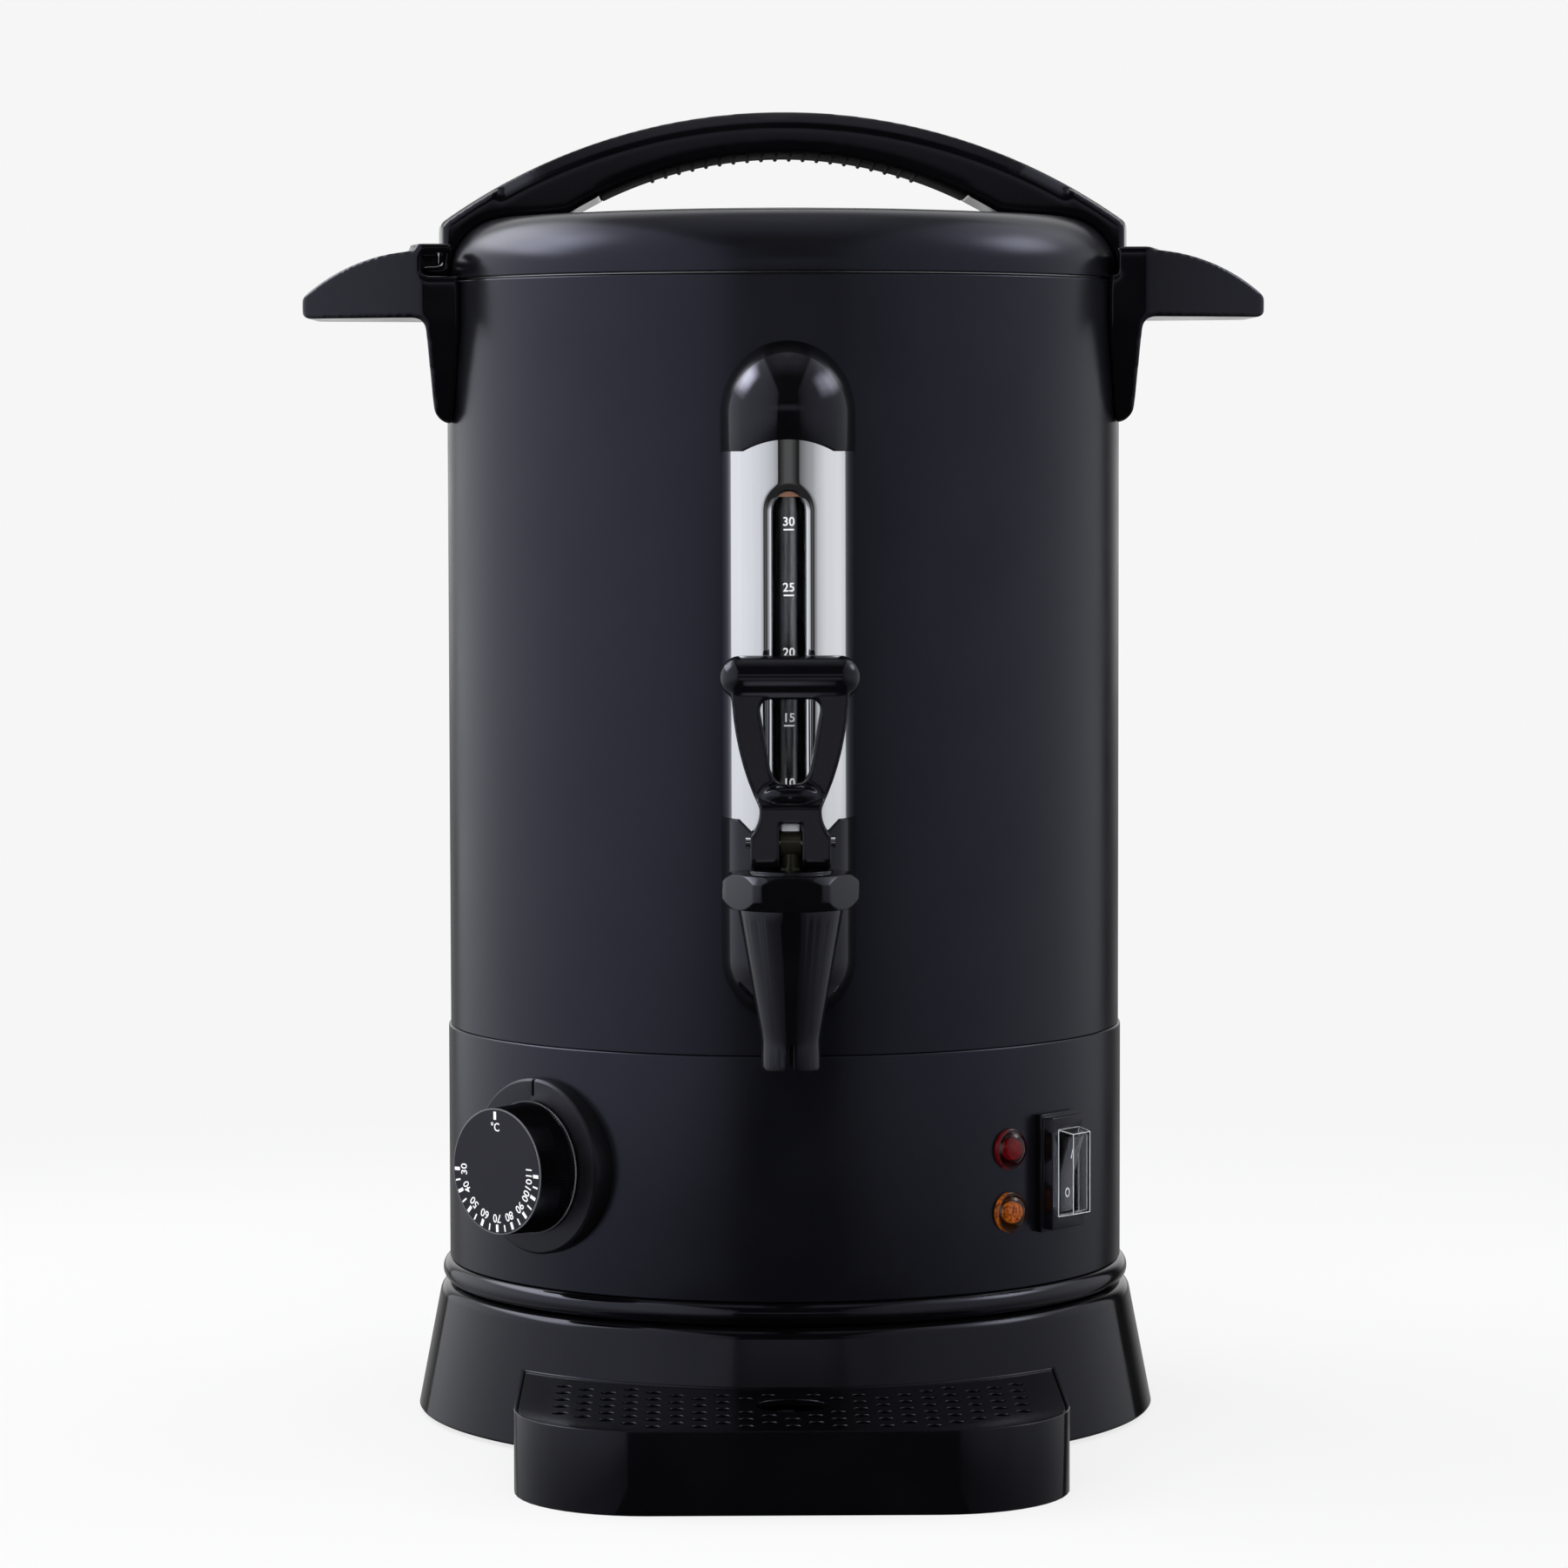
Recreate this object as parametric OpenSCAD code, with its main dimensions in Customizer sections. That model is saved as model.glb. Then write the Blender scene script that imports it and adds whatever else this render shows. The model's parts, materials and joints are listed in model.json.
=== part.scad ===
// Hot drinks urn with a lever tap, a sight gauge, a twist-lock lid and a drip tray.
// Millimetres. Z is up, the tap faces -Y, and the origin is on the urn's axis at floor level.

/* [Body] */
// Outer radius of the upper jacket
body_r = 112.5; // [106:0.5:120]
// Height of the upper jacket
jacket_h = 247.9; // [240:0.1:280]
// Sheet thickness of the jacket, the control housing and the lid
sheet_t = 1.2; // [0.8:0.1:1.5]
// Width of the jacket's inward curl at the rim
rim_curl = 5.5; // [4:0.5:7]
// Air gap between the jacket and the vessel
vessel_gap = 7.3; // [6.5:0.1:9]
// Wall thickness of the vessel
vessel_t = 1; // [0.8:0.1:1.5]
// Height of the vessel's floor above the control housing
floor_rise = 15; // [13:0.5:17]
// Corner radius of the vessel's floor
floor_corner = 6; // [3:0.5:8]

/* [Control housing] */
// How far the control housing stands out from the jacket
housing_step = 0.7; // [0.4:0.1:1.5]
// Height of the control housing
housing_h = 78.7; // [72:0.1:95]
// Width of the housing's inward flanges
flange_w = 9; // [7:0.5:11]
// Height of the controls' centre line above the housing's lower edge
controls_z = 38; // [35:0.5:42]

/* [Base] */
// Height of the feet
foot_h = 4; // [3:0.5:6]
// Radius of a foot
foot_r = 11; // [8:0.5:14]
// Radius of the circle of feet
foot_pcd_r = 96; // [85:1:100]
// Radius of a foot's stud
foot_stud_r = 2.5; // [2:0.1:3.5]
// Gap under the skirt
skirt_lift = 1.5; // [1:0.1:2.5]
// Height of the skirt
skirt_h = 42.5; // [38:0.5:50]
// How far the skirt's top stands out from the jacket
skirt_top_out = 4; // [3:0.1:6]
// How far the skirt's foot stands out from the jacket
skirt_foot_out = 11.4; // [9:0.1:14]
// Wall thickness of the skirt
skirt_t = 2.5; // [2:0.1:3]
// Radius of the skirt's upper edge
skirt_edge = 4.5; // [2:0.5:5]
// Thickness of the base plate
plate_t = 1.2; // [1:0.1:2]
// Width of the ledge that the base plate is screwed to
ledge_w = 10; // [8:0.5:12]
// Height of the bead ring
bead_h = 8; // [6:0.5:10]
// How far the bead ring stands out from the jacket
bead_out = 3; // [2:0.1:3.8]

/* [Lid] */
// Radius of the lid's shoulder
shoulder_r = 18; // [15:0.5:20]
// Height of the lid's crown above its shoulder
crown_h = 3; // [2:0.5:3.5]
// Thickness of the lid seal's flange
seal_t = 2; // [1.5:0.1:2.5]
// Depth of the seal's lip in the vessel's mouth
seal_lip_h = 7.5; // [5:0.5:10]
// Wall of the seal's lip
seal_lip_t = 1.7; // [1.2:0.1:2.2]
// Width of the lid's handle, front to back
arch_w = 48; // [42:1:50]
// Radius of the handle's outer arc
arch_r = 195; // [190:1:202]
// Height of the handle's top above the rim
arch_h = 54.9; // [53:0.1:58]
// Radius of the finger gap's arc
gap_r = 138; // [132:1:142]
// Thickness of the handle at its middle
arch_t = 13.7; // [12.5:0.1:15]
// Chamfer along the handle's outer edges
arch_chamfer = 4; // [2:0.5:6]
// Thickness of the ribbed grip strip
grip_t = 2.6; // [2:0.1:3.5]
// Length of the grip strip along its arc, in degrees
grip_span = 52; // [46:1:54]
// Number of finger ribs
rib_count = 20; // [12:1:24]
// Angle between finger ribs
rib_pitch = 1.95; // [1.6:0.05:2]
// Radius of a finger rib
rib_r = 0.7; // [0.5:0.05:0.9]
// Wall of the handle's legs beside the lid
leg_t = 2.4; // [2:0.1:3]
// How far the locking lug stands out from the leg
lug_out = 6.5; // [5:0.1:7]
// Thickness of the locking lug
lug_h = 3.2; // [2:0.1:3.5]
// Height of the locking lug above the rim
lug_rise = 0.8; // [0.6:0.1:1.6]
// Length of the locking lug
lug_l = 14; // [10:1:16]

// Length of the lid's screws in its handle
lid_screw_grip = 9; // [6:0.5:10]

/* [Side handles] */
// Width of a side handle, front to back
handle_w = 75; // [68:1:80]
// Reach of a side handle from the jacket
handle_reach = 46.9; // [42:0.1:54]
// Height of the grip's top above the rim
handle_top = 8.8; // [8:0.1:9]
// Thickness of the grip at its root
handle_t = 22; // [20:0.5:26]
// Radius of the grip's curved top
handle_top_r = 62; // [58:1:72]
// Plan radius of the grip's outer corners
handle_corner = 3; // [2:0.5:5]
// Lean of the grip's sides at their root
root_lean = 11; // [6:1:13]
// Lean of the grip's sides at the tip
tip_lean = 28; // [18:1:30]
// Rounding of the grip's tip
handle_tip = 2; // [1.5:0.5:3]
// Thickness of the handle's leg on the jacket
handle_leg_t = 5.3; // [4.5:0.1:8]
// Distance from the grip's underside to the leg's lower end
handle_leg_h = 34.9; // [28:0.1:40]
// Width of the leg at its lower end
handle_leg_w = 60; // [48:1:66]
// Height of the slot that takes the lug
hook_slot_h = 7.8; // [6:0.1:8]
// Thickness of the hook plate
hook_t = 2.9; // [2.4:0.1:4]
// Outer wall of the pocket that takes the lug
hook_wall = 2.1; // [1.6:0.1:3]
// Room between the lug and the pocket's outer wall
pocket_room = 2.6; // [0.4:0.1:3]

/* [Sight gauge] */
// Length of the gauge's screws
gauge_screw_l = 12; // [10:0.5:13]
// Radius of the polished shield
gauge_r = 20.9; // [18:0.1:23]
// How far the shield's axis lies inside the jacket's face
gauge_sink = 4; // [3:0.1:5]
// Sheet thickness of the shield
shield_t = 0.8; // [0.6:0.1:1]
// Length of the shield between the cap and the cover
shield_l = 115.6; // [105:0.1:125]
// How far the shield goes into the cap and the cover
shield_tuck = 6; // [4:0.5:8]
// Width of the lower cover's notch at its top
notch_w1 = 33; // [28:0.5:36]
// Width of the lower cover's notch at its bottom
notch_w0 = 20; // [16:0.5:24]
// Width of the sight slot
slot_w = 11.6; // [10:0.1:12.5]
// Distance from the shield's top to the slot's top
slot_drop = 13; // [11:0.5:18]
// Depth of the slot's turned-in lip
slot_lip = 2.2; // [1.5:0.1:2.4]
// Lip of the cap and the cover over the shield
cap_lip = 0.6; // [0.5:0.1:0.9]
// Height of the cap's straight part
cap_straight = 12; // [10:0.5:18]
// Rise of the arch in the cap's lower edge
cap_arch = 3.7; // [2:0.1:5]
// Radius of the arch in the cap's lower edge
cap_arch_r = 32; // [28:1:40]
// Wall of the lower cover
cover_t = 1.9; // [1.6:0.1:2.2]
// Depth of the notch in the cover's upper edge
cover_notch = 6; // [4:0.5:8]
// Outer radius of the glass tube
tube_r = 5.2; // [4.6:0.1:5.4]
// Wall of the glass tube
tube_t = 1.2; // [0.8:0.1:1.5]
// Distance from the jacket's face to the tube's axis
tube_out = 8.2; // [8:0.1:8.4]

/* [Tap] */
// Height of the shank's axis above the control housing
shank_rise = 39.3; // [37:0.1:42]
// Outer radius of the shank
shank_r = 8; // [7:0.1:8.5]
// Radius of the shank's bore
shank_bore_r = 5.5; // [4.5:0.1:6]
// Distance from the jacket's face to the tap's axis
tap_reach = 37.5; // [37:0.1:44]
// Depth of the spout's tip below the shank's axis
spout_drop = 38.8; // [36:0.1:41]
// Length of the straight tip of the spout
tip_l = 9; // [6:0.5:12]
// Outer radius of the spout's tip
tip_r = 9.1; // [8:0.1:10]
// Width of the slit in the front of the spout's tip
slit_w = 1.4; // [1:0.1:2]
// Radius of the spout's bore
spout_bore_r = 6.2; // [5:0.1:6.8]
// Outer radius of the tap's body under the bonnet
tap_r = 16.4; // [15.5:0.1:18]
// Height of the bonnet's lower face above the shank's axis
bonnet_rise = 11.4; // [11:0.1:13]
// Radius of the chamber
chamber_r = 10.5; // [9.8:0.1:11]
// Height of the bonnet
bonnet_h = 10.8; // [9.5:0.1:12]
// Radius of the bonnet to its corners
bonnet_r = 22; // [20:0.5:24]
// Radius of the thread that the bonnet screws on
thread_r = 14.6; // [13.5:0.1:15.4]
// Radius of the stem
stem_r = 3; // [2.6:0.1:3.3]
// Radius of the stem's head
head_r = 4.4; // [4:0.1:5]
// Width of the stem's head
head_w = 6.4; // [5.6:0.1:7]
// Height of the pivot pin above the bonnet's collar
pin_rise = 8.3; // [7.5:0.1:9]
// Radius of the pivot pin
pin_r = 1.6; // [1.4:0.1:1.9]
// Length of the pivot pin
pin_l = 27.7; // [27:0.1:32]

/* [Tap lever] */
// Width of the lever's foot
foot_w = 25; // [23:0.5:28]
// Depth of the lever's foot, front to back
foot_d = 16; // [14:0.5:16]
// Rounding of the foot's heel and toe
heel_r = 3; // [3:0.1:4]
// Width of the lever's crossbar
bar_w = 43.9; // [40:0.1:48]
// Radius of the crossbar
bar_r = 6.8; // [6:0.1:7.5]
// Height of the crossbar's axis above the pin
bar_rise = 51.4; // [48:0.1:56]
// Depth of the lever's legs, front to back
lever_d = 10; // [8:0.5:12]
// Width of the lever's neck
neck_w = 19; // [17:0.5:21]
// Height of the neck above the pin
neck_rise = 10.8; // [10:0.1:12]
// Width across the legs at the crossbar
legs_w = 36.7; // [34:0.1:39]
// Width of one leg
leg_w = 9; // [7:0.1:9.5]

/* [Controls] */
// Angle of the knob round the housing
knob_az = -44.5; // [-50:0.5:-40]
// Radius of the knob's bezel
bezel_r = 28.5; // [26:0.5:30]
// Thickness of the bezel at its middle
bezel_t = 4.3; // [3.5:0.1:5]
// Radius of the knob
knob_r = 21.4; // [19:0.1:24]
// Height of the knob
knob_h = 16; // [13:0.5:18]
// Number of ribs round the knob
knob_ribs = 120; // [60:4:132]
// Depth of the knob's ribs
knob_rib_d = 0.45; // [0.3:0.05:0.9]
// Radius of the thermostat's shaft
shaft_r = 3; // [2.5:0.1:3.5]
// Radius of the thermostat's bush
bush_r = 5; // [4.5:0.1:6]
// Width of the thermostat's case
thermostat_w = 34; // [28:1:38]
// Depth of the thermostat's case
thermostat_d = 22; // [16:1:26]
// Angle of the lamps round the housing
lamp_az = 39; // [35:0.5:40]
// Distance between the lamps
lamp_pitch = 20.5; // [18:0.5:24]
// Radius of a lamp's rim
lamp_rim_r = 6.6; // [6.6:0.1:7.5]
// Radius of a lamp's lens
lens_r = 5.7; // [5:0.1:5.8]
// Height of a lamp's lens above its rim
lens_h = 3.2; // [2.4:0.1:3.6]
// Radius of a lamp's barrel
barrel_r = 4.6; // [4:0.1:5]
// Angle of the switch round the housing
switch_az = 50; // [49.5:0.5:56]
// Width of the switch's frame
frame_w = 17.5; // [16.5:0.1:18.5]
// Height of the switch's frame
frame_h = 36.3; // [34:0.1:39]
// How far the switch's frame stands out from the housing
frame_t = 5.8; // [5:0.1:7]
// Width of the rocker
rocker_w = 7.4; // [6:0.1:7.8]
// Height of the rocker
rocker_h = 25; // [23:0.1:25.4]
// Tilt of the rocker, to each side of level
rocker_tilt = 8; // [6:0.5:9]
// Radius of the rocker's axle
axle_r = 1.25; // [1:0.05:1.5]
// Wall of the switch's clear cover
clear_t = 0.8; // [0.6:0.1:1]
// Height of the clear cover
clear_h = 5.4; // [5.2:0.1:7]
// Width of the clear cover at its foot
clear_w = 11.4; // [11:0.1:13]
// Length of the clear cover at its foot
clear_l = 28.6; // [28:0.1:31]
// Taper of the clear cover, each side
clear_taper = 1.1; // [0.6:0.1:1.3]

/* [Heater] */
// Radius of the heating element's ring
element_r = 62; // [50:1:75]
// Radius of the element's tube
element_tube_r = 4; // [3:0.1:4.5]
// Thickness of the heat shield
shield_plate_t = 0.8; // [0.6:0.1:1.2]
// Length of the element's posts
element_post_l = 24; // [20:1:28]

/* [Wiring] */
// Width of the terminal block
block_w = 48; // [40:1:54]
// Depth of the terminal block
block_d = 22; // [18:1:26]
// Height of the terminal block's foot
block_h = 6; // [4:0.5:7]
// Distance of the terminal block behind the urn's axis
block_y = 40; // [34:1:46]
// Depth of the switch's body
switch_depth = 22; // [18:1:26]
// Length of the switch's tags
tag_l = 10; // [8:0.5:12]
// Width of the switch's tags
tag_w = 6; // [4.8:0.1:6.3]
// Thickness of the switch's tags
tag_t = 0.8; // [0.6:0.1:1]
// Radius of the gland's thread
gland_r = 7; // [6:0.5:8]
// Radius of the gland's bore
gland_bore_r = 4; // [3:0.5:5]

/* [Drip tray] */
// Width of the drip tray
tray_w = 173; // [160:1:184]
// Distance from the jacket's face to the tray's front
tray_reach = 84.5; // [78:0.5:96]
// Height of the tray
tray_h = 26; // [22:0.5:30]
// Plan radius of the tray's front corners
tray_corner = 42; // [30:1:50]
// Wall of the tray
tray_t = 2.4; // [2:0.1:3]
// Width of the ledge that carries the grate
tray_ledge = 1.4; // [1:0.1:1.6]
// Thickness of the grate
grate_t = 2; // [1.5:0.1:2.5]
// Radius of a grate hole
hole_r = 2.4; // [1.8:0.1:2.7]
// Distance between columns of grate holes
hole_pitch_x = 7.2; // [6.6:0.1:9]
// Distance between holes in a column
hole_pitch_y = 12; // [11:0.5:15]
// Radius of the grate's drain hole
drain_r = 11.5; // [9:0.5:13]
// Plain border of the grate
grate_border = 5; // [4:0.5:8]

/* [Fits] */
// Gap between fixed pieces that seat on a curved face
seat_gap = 0.1; // [0.05:0.01:0.15]
// Gap between pieces that move past each other
run_gap = 0.3; // [0.25:0.05:0.4]
// Radial clearance of pins, shafts and screws
fit_gap = 0.05; // [0.02:0.01:0.08]
// Radius of the small screws' shanks
screw_r = 1.8; // [1.5:0.1:2]
// Radius of the small screws' heads
screw_head_r = 3.2; // [2.8:0.1:3.4]
// Height of the small screws' heads
screw_head_h = 1.6; // [1.2:0.1:1.8]

/* [Hidden] */
$fn = 96;
black = "#1b1b1f";
gloss = "#101013";
steel = "#c9ccd0";

// Levels, from the floor up
skirt_z1 = skirt_lift + skirt_h;
housing_z0 = skirt_z1 + bead_h;
housing_z1 = housing_z0 + housing_h;
jacket_z1 = housing_z1 + jacket_h;
rim_z = jacket_z1 + vessel_t;
floor_z = housing_z1 + floor_rise;
shank_z = housing_z1 + shank_rise;
knob_z = housing_z0 + controls_z + 2;
lamp_z = housing_z0 + controls_z - 2.5;
switch_z = housing_z0 + controls_z - 1.3;

// Radii of the shells
housing_r = body_r + housing_step;
housing_ri = housing_r - sheet_t;
jacket_ri = body_r - sheet_t;
vessel_r = jacket_ri - vessel_gap;
vessel_ri = vessel_r - vessel_t;
skirt_r0 = body_r + skirt_foot_out;
skirt_r1 = body_r + skirt_top_out;
flange_ri = housing_r - flange_w;
function skirt_r(z) = skirt_r0 + (skirt_r1 - skirt_r0) * (z - skirt_lift) / skirt_h;

// Base
plate_z = foot_h;
plate_z1 = plate_z + plate_t;
plate_r = skirt_r(plate_z1) - skirt_t - 0.5;
base_screw_r = plate_r - ledge_w / 2;
body_screw_r = flange_ri + flange_w / 2;
nut_h = 2.5;

// Lid
seal_z0 = rim_z + 0.15;
seal_z1 = seal_z0 + seal_t;
lid_z0 = rim_z + 0.5;
lid_ledge_z = seal_z1 + 0.15;
shoulder_z = lid_z0 + 1.4;
crown_r = body_r - shoulder_r;
lid_top_z = shoulder_z + shoulder_r;
seal_r = jacket_ri - 0.5;
arch_zc = rim_z + arch_h - arch_r;
gap_zc = rim_z + arch_h - arch_t - gap_r;
leg_r0 = body_r + seat_gap;
leg_r1 = leg_r0 + leg_t;
lug_r = leg_r1 + lug_out;
lug_z = rim_z + lug_rise;
lid_screw_x = crown_r - 6;

// Side handles
hook_z0 = lug_z - 0.4;
hook_z1 = hook_z0 + hook_slot_h;
hook_z2 = hook_z1 + hook_t;
pocket_r = lug_r + pocket_room;
bracket_r = pocket_r + hook_wall;
handle_z1 = rim_z + handle_top;
handle_z0 = handle_z1 - handle_t;
handle_tip_x = body_r + handle_reach;
handle_root_x = body_r + handle_leg_t + 1;
handle_leg_z = handle_z0 - handle_leg_h;
handle_screw_z = handle_z0 - 14;
handle_screw_y = handle_leg_w / 4;
lug_y = arch_w / 2;
plate_y = lug_y + 1.3;

// Gauge and tap
gauge_y = -(body_r - gauge_sink);
tube_y = -(body_r + tube_out);
cap_r = gauge_r + cap_lip;
cover_z1 = shank_z + 37;
cover_z0 = cover_z1 - cover_notch;
cover_dome_z = shank_z - 7.7;
cap_z0 = cover_z1 + shield_l;
cap_dome_z = cap_z0 + cap_straight;
slot_z1 = cap_z0 - slot_drop;
slot_z0 = cover_z0 - shield_tuck;
tee_r = tube_r + 1.8;
tee_z1 = shank_z + 22;
tee_socket_z = shank_z + 10;
sleeve_r = tee_r + 0.2;
sleeve_z0 = slot_z1 - 1.2;
tube_z1 = cap_z0 + 8;
tap_y = -(body_r + tap_reach);
boss_r = 12.5;
boss_y = tube_y - tee_r - 0.5;
shank_y0 = -(vessel_ri - 14);
shank_y1 = tap_y + chamber_r + 1;
tip_z = shank_z - spout_drop;
bonnet_z0 = shank_z + bonnet_rise;
bonnet_z1 = bonnet_z0 + bonnet_h;
collar_z = bonnet_z1 + 1;
collar_r = 13.3;
pin_z = collar_z + pin_rise;
seat_z0 = shank_z - 10;
seat_z1 = shank_z - 4.5;
lever_z0 = collar_z + run_gap;
bar_z = pin_z + bar_rise;
neck_z = pin_z + neck_rise;
clevis_w = head_w + 2 * run_gap;

// Controls
bezel_z = housing_r + bezel_t;
knob_base = bezel_z + 0.4;
knob_front = knob_base + knob_h;
knob_face_r = knob_r - knob_rib_d - 0.15;
bush_end = bezel_z - 0.8;
thermostat_front = housing_ri - 3;
frame_front = housing_r + frame_t;
axle_z = frame_front - 2.5;
rocker_room_w = rocker_w + 2;
rocker_room_h = rocker_h + 1.6;
switch_body_w = frame_w - 3;
switch_body_h = frame_h - 4;

// Tray
tray_front = -(body_r + tray_reach);
tray_back_gap = run_gap;
grate_z = tray_h - 0.5 - grate_t;
tray_ledge_z = grate_z - seat_gap;

// Points of an arc from angle a0 to a1
function arc(c, r, a0, a1, n = 8) = [for (i = [0:n]) let (a = a0 + (a1 - a0) * i / n) c + r * [cos(a), sin(a)]];

// Half profile of a cup with a rounded lower corner
function cup(r, z0, z1, corner) = concat(
    [[0, z0]], arc([r - corner, z0 + corner], corner, -90, 0), [[r, z1], [0, z1]]);

// Half profile of the lid's outside, moved inwards by t
function lid_profile(t, z0) = concat(
    [[0, z0], [body_r - t, z0]],
    arc([crown_r, shoulder_z], shoulder_r - t, 0, 90),
    [for (i = [1:8]) let (q = i / 8) [crown_r * (1 - q), lid_top_z - t + crown_h * (1 - (1 - q) ^ 2)]]);

// Places children on the housing's wall: local X to the right, Y up, Z outwards from the urn's axis
module on_wall(az, z) rotate([0, 0, az]) translate([0, 0, z]) rotate([90, 0, 0]) children();

// Places children along -Y from a point, for what points to the front
module facing_front(x, z) translate([x, 0, z]) rotate([90, 0, 0]) children();

// Cylinder along X, centred
module cross_cylinder(r, l, y, z) translate([0, y, z]) rotate([0, 90, 0]) cylinder(r = r, h = l, center = true);

// Extrusion of an outline in X and Z along Y, centred on y
module front_extrude(d, y = 0) translate([0, y, 0]) rotate([90, 0, 0])
    linear_extrude(d, center = true) children();

// Extrusion of an outline in Y and Z along X, centred
module side_extrude(w) rotate([90, 0, 90]) linear_extrude(w, center = true) children();

module tube(r_out, r_in, h) difference() {
    cylinder(r = r_out, h = h);
    translate([0, 0, -1]) cylinder(r = r_in, h = h + 2);
}

// Pan head screw, head at the bottom, shank upwards
module screw(l) {
    cylinder(r = screw_head_r, h = screw_head_h);
    translate([0, 0, screw_head_h]) cylinder(r = screw_r, h = l);
}

module screw_hole(l) cylinder(r = screw_r + fit_gap, h = l);

// Solid of the jacket's outside, for seating pieces on it
module jacket_solid(gap) translate([0, 0, housing_z1])
    cylinder(r = body_r + gap, h = jacket_h + vessel_t, $fn = 180);

module quarter_turns(a0 = 0) for (a = [a0:90:a0 + 270]) rotate([0, 0, a]) children();

module base_plate() color("#8d9094") difference() {
    translate([0, 0, plate_z]) cylinder(r = plate_r, h = plate_t);
    quarter_turns(45) translate([foot_pcd_r, 0, 0]) cylinder(r = foot_stud_r + fit_gap, h = plate_z1 + 1);
    quarter_turns() translate([base_screw_r, 0, 0]) screw_hole(plate_z1 + 1);
    for (a = [15:30:345]) rotate([0, 0, a]) translate([foot_pcd_r / 2, 0, 0]) cylinder(r = 4, h = plate_z1 + 1);
}

module feet() color("#26262a") quarter_turns(45) translate([foot_pcd_r, 0, 0]) {
    cylinder(r1 = foot_r - 0.8, r2 = foot_r, h = foot_h / 2);
    translate([0, 0, foot_h / 2]) cylinder(r = foot_r, h = foot_h / 2);
    translate([0, 0, foot_h]) cylinder(r = foot_stud_r, h = plate_t);
    translate([0, 0, plate_z1]) cylinder(r1 = foot_stud_r + 0.8, r2 = foot_stud_r - 0.5, h = 2);
}

module base_screws() color(steel) quarter_turns() translate([base_screw_r, 0, plate_z - screw_head_h])
    screw(plate_t + 2.5);

module base_skirt() color(gloss) difference() {
    rotate_extrude($fn = 180) polygon(concat(
        [[skirt_r0, skirt_lift]],
        arc([skirt_r1 - skirt_edge, skirt_z1 - skirt_edge], skirt_edge, 10, 90, 4),
        [[flange_ri, skirt_z1], [flange_ri, skirt_z1 - skirt_t],
         [skirt_r(skirt_z1 - skirt_t) - skirt_t, skirt_z1 - skirt_t],
         [skirt_r(plate_z1 + 4) - skirt_t, plate_z1 + 4],
         [plate_r - ledge_w, plate_z1 + 4], [plate_r - ledge_w, plate_z1],
         [skirt_r(plate_z1) - skirt_t, plate_z1], [skirt_r0 - skirt_t, skirt_lift]]));
    quarter_turns() translate([base_screw_r, 0, plate_z]) screw_hole(plate_t + 3);
    quarter_turns(45) translate([body_screw_r, 0, skirt_z1 - skirt_t - 1]) screw_hole(skirt_t + 2);
}

module bead_ring() color(gloss) difference() {
    rotate_extrude($fn = 180) polygon(concat(
        [[flange_ri, skirt_z1]],
        arc([body_r + bead_out - bead_h / 2, skirt_z1 + bead_h / 2], bead_h / 2, -90, 90, 12),
        [[flange_ri, housing_z0]]));
    quarter_turns(45) translate([body_screw_r, 0, skirt_z1 - 1]) screw_hole(bead_h + 2);
}

module body_screws() color(steel) quarter_turns(45) translate([body_screw_r, 0, skirt_z1 - skirt_t - screw_head_h])
    screw(skirt_t + bead_h + sheet_t + nut_h);

module control_housing() color(black) difference() {
    rotate_extrude($fn = 180) polygon([[flange_ri, housing_z0], [housing_r, housing_z0], [housing_r, housing_z1],
        [flange_ri, housing_z1], [flange_ri, housing_z1 - sheet_t], [housing_ri, housing_z1 - sheet_t],
        [housing_ri, housing_z0 + sheet_t], [flange_ri, housing_z0 + sheet_t]]);
    quarter_turns(45) translate([body_screw_r, 0, housing_z0 - 1]) screw_hole(sheet_t + 2);
    on_wall(knob_az, knob_z) translate([0, 0, housing_r - 10]) cylinder(r = bush_r + fit_gap, h = 20);
    for (s = [-1, 1]) on_wall(lamp_az, lamp_z + s * lamp_pitch / 2)
        translate([0, 0, housing_r - 10]) cylinder(r = barrel_r + fit_gap, h = 20);
    on_wall(switch_az, switch_z) translate([0, 0, housing_r])
        cube([switch_body_w + 2 * seat_gap, switch_body_h + 2 * seat_gap, 20], center = true);
    on_wall(180, gland_z) translate([0, 0, housing_r - 10]) cylinder(r = gland_r + fit_gap, h = 20);
}

// Bushing for the mains lead, with a flange on the outside and a nut on the inside
gland_z = housing_z0 + 14;
module cord_gland() color(gloss) on_wall(180, gland_z) difference() {
    union() {
        translate([0, 0, housing_r + seat_gap]) cylinder(r = gland_r + 3, h = 3);
        translate([0, 0, housing_r + seat_gap + 3]) cylinder(r1 = gland_r + 1, r2 = gland_r - 1, h = 5);
        translate([0, 0, housing_ri - 8]) cylinder(r = gland_r, h = sheet_t + 9);
        translate([0, 0, housing_ri - 6]) cylinder(r = gland_r + 4, h = 5, $fn = 6);
    }
    translate([0, 0, housing_ri - 12]) cylinder(r = gland_bore_r, h = 40);
}

// Terminal block for the wiring, standing on the base plate
module terminal_block() color("#d9d6cc") translate([-block_w / 2, block_y, plate_z1]) difference() {
    cell = block_w / 3;
    union() {
        cube([block_w, block_d, block_h]);
        for (i = [0:2]) translate([(i + 1 / 8) * cell, block_d / 8, block_h])
            cube([cell * 3 / 4, block_d * 3 / 4, 2 * block_h]);
    }
    for (i = [0:2]) translate([(i + 1 / 2) * cell, block_d / 2, block_h + 2]) {
        cylinder(r = cell / 8, h = 4 * block_h);
        rotate([90, 0, 0]) cylinder(r = cell / 10, h = 2 * block_d, center = true);
    }
}

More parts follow.
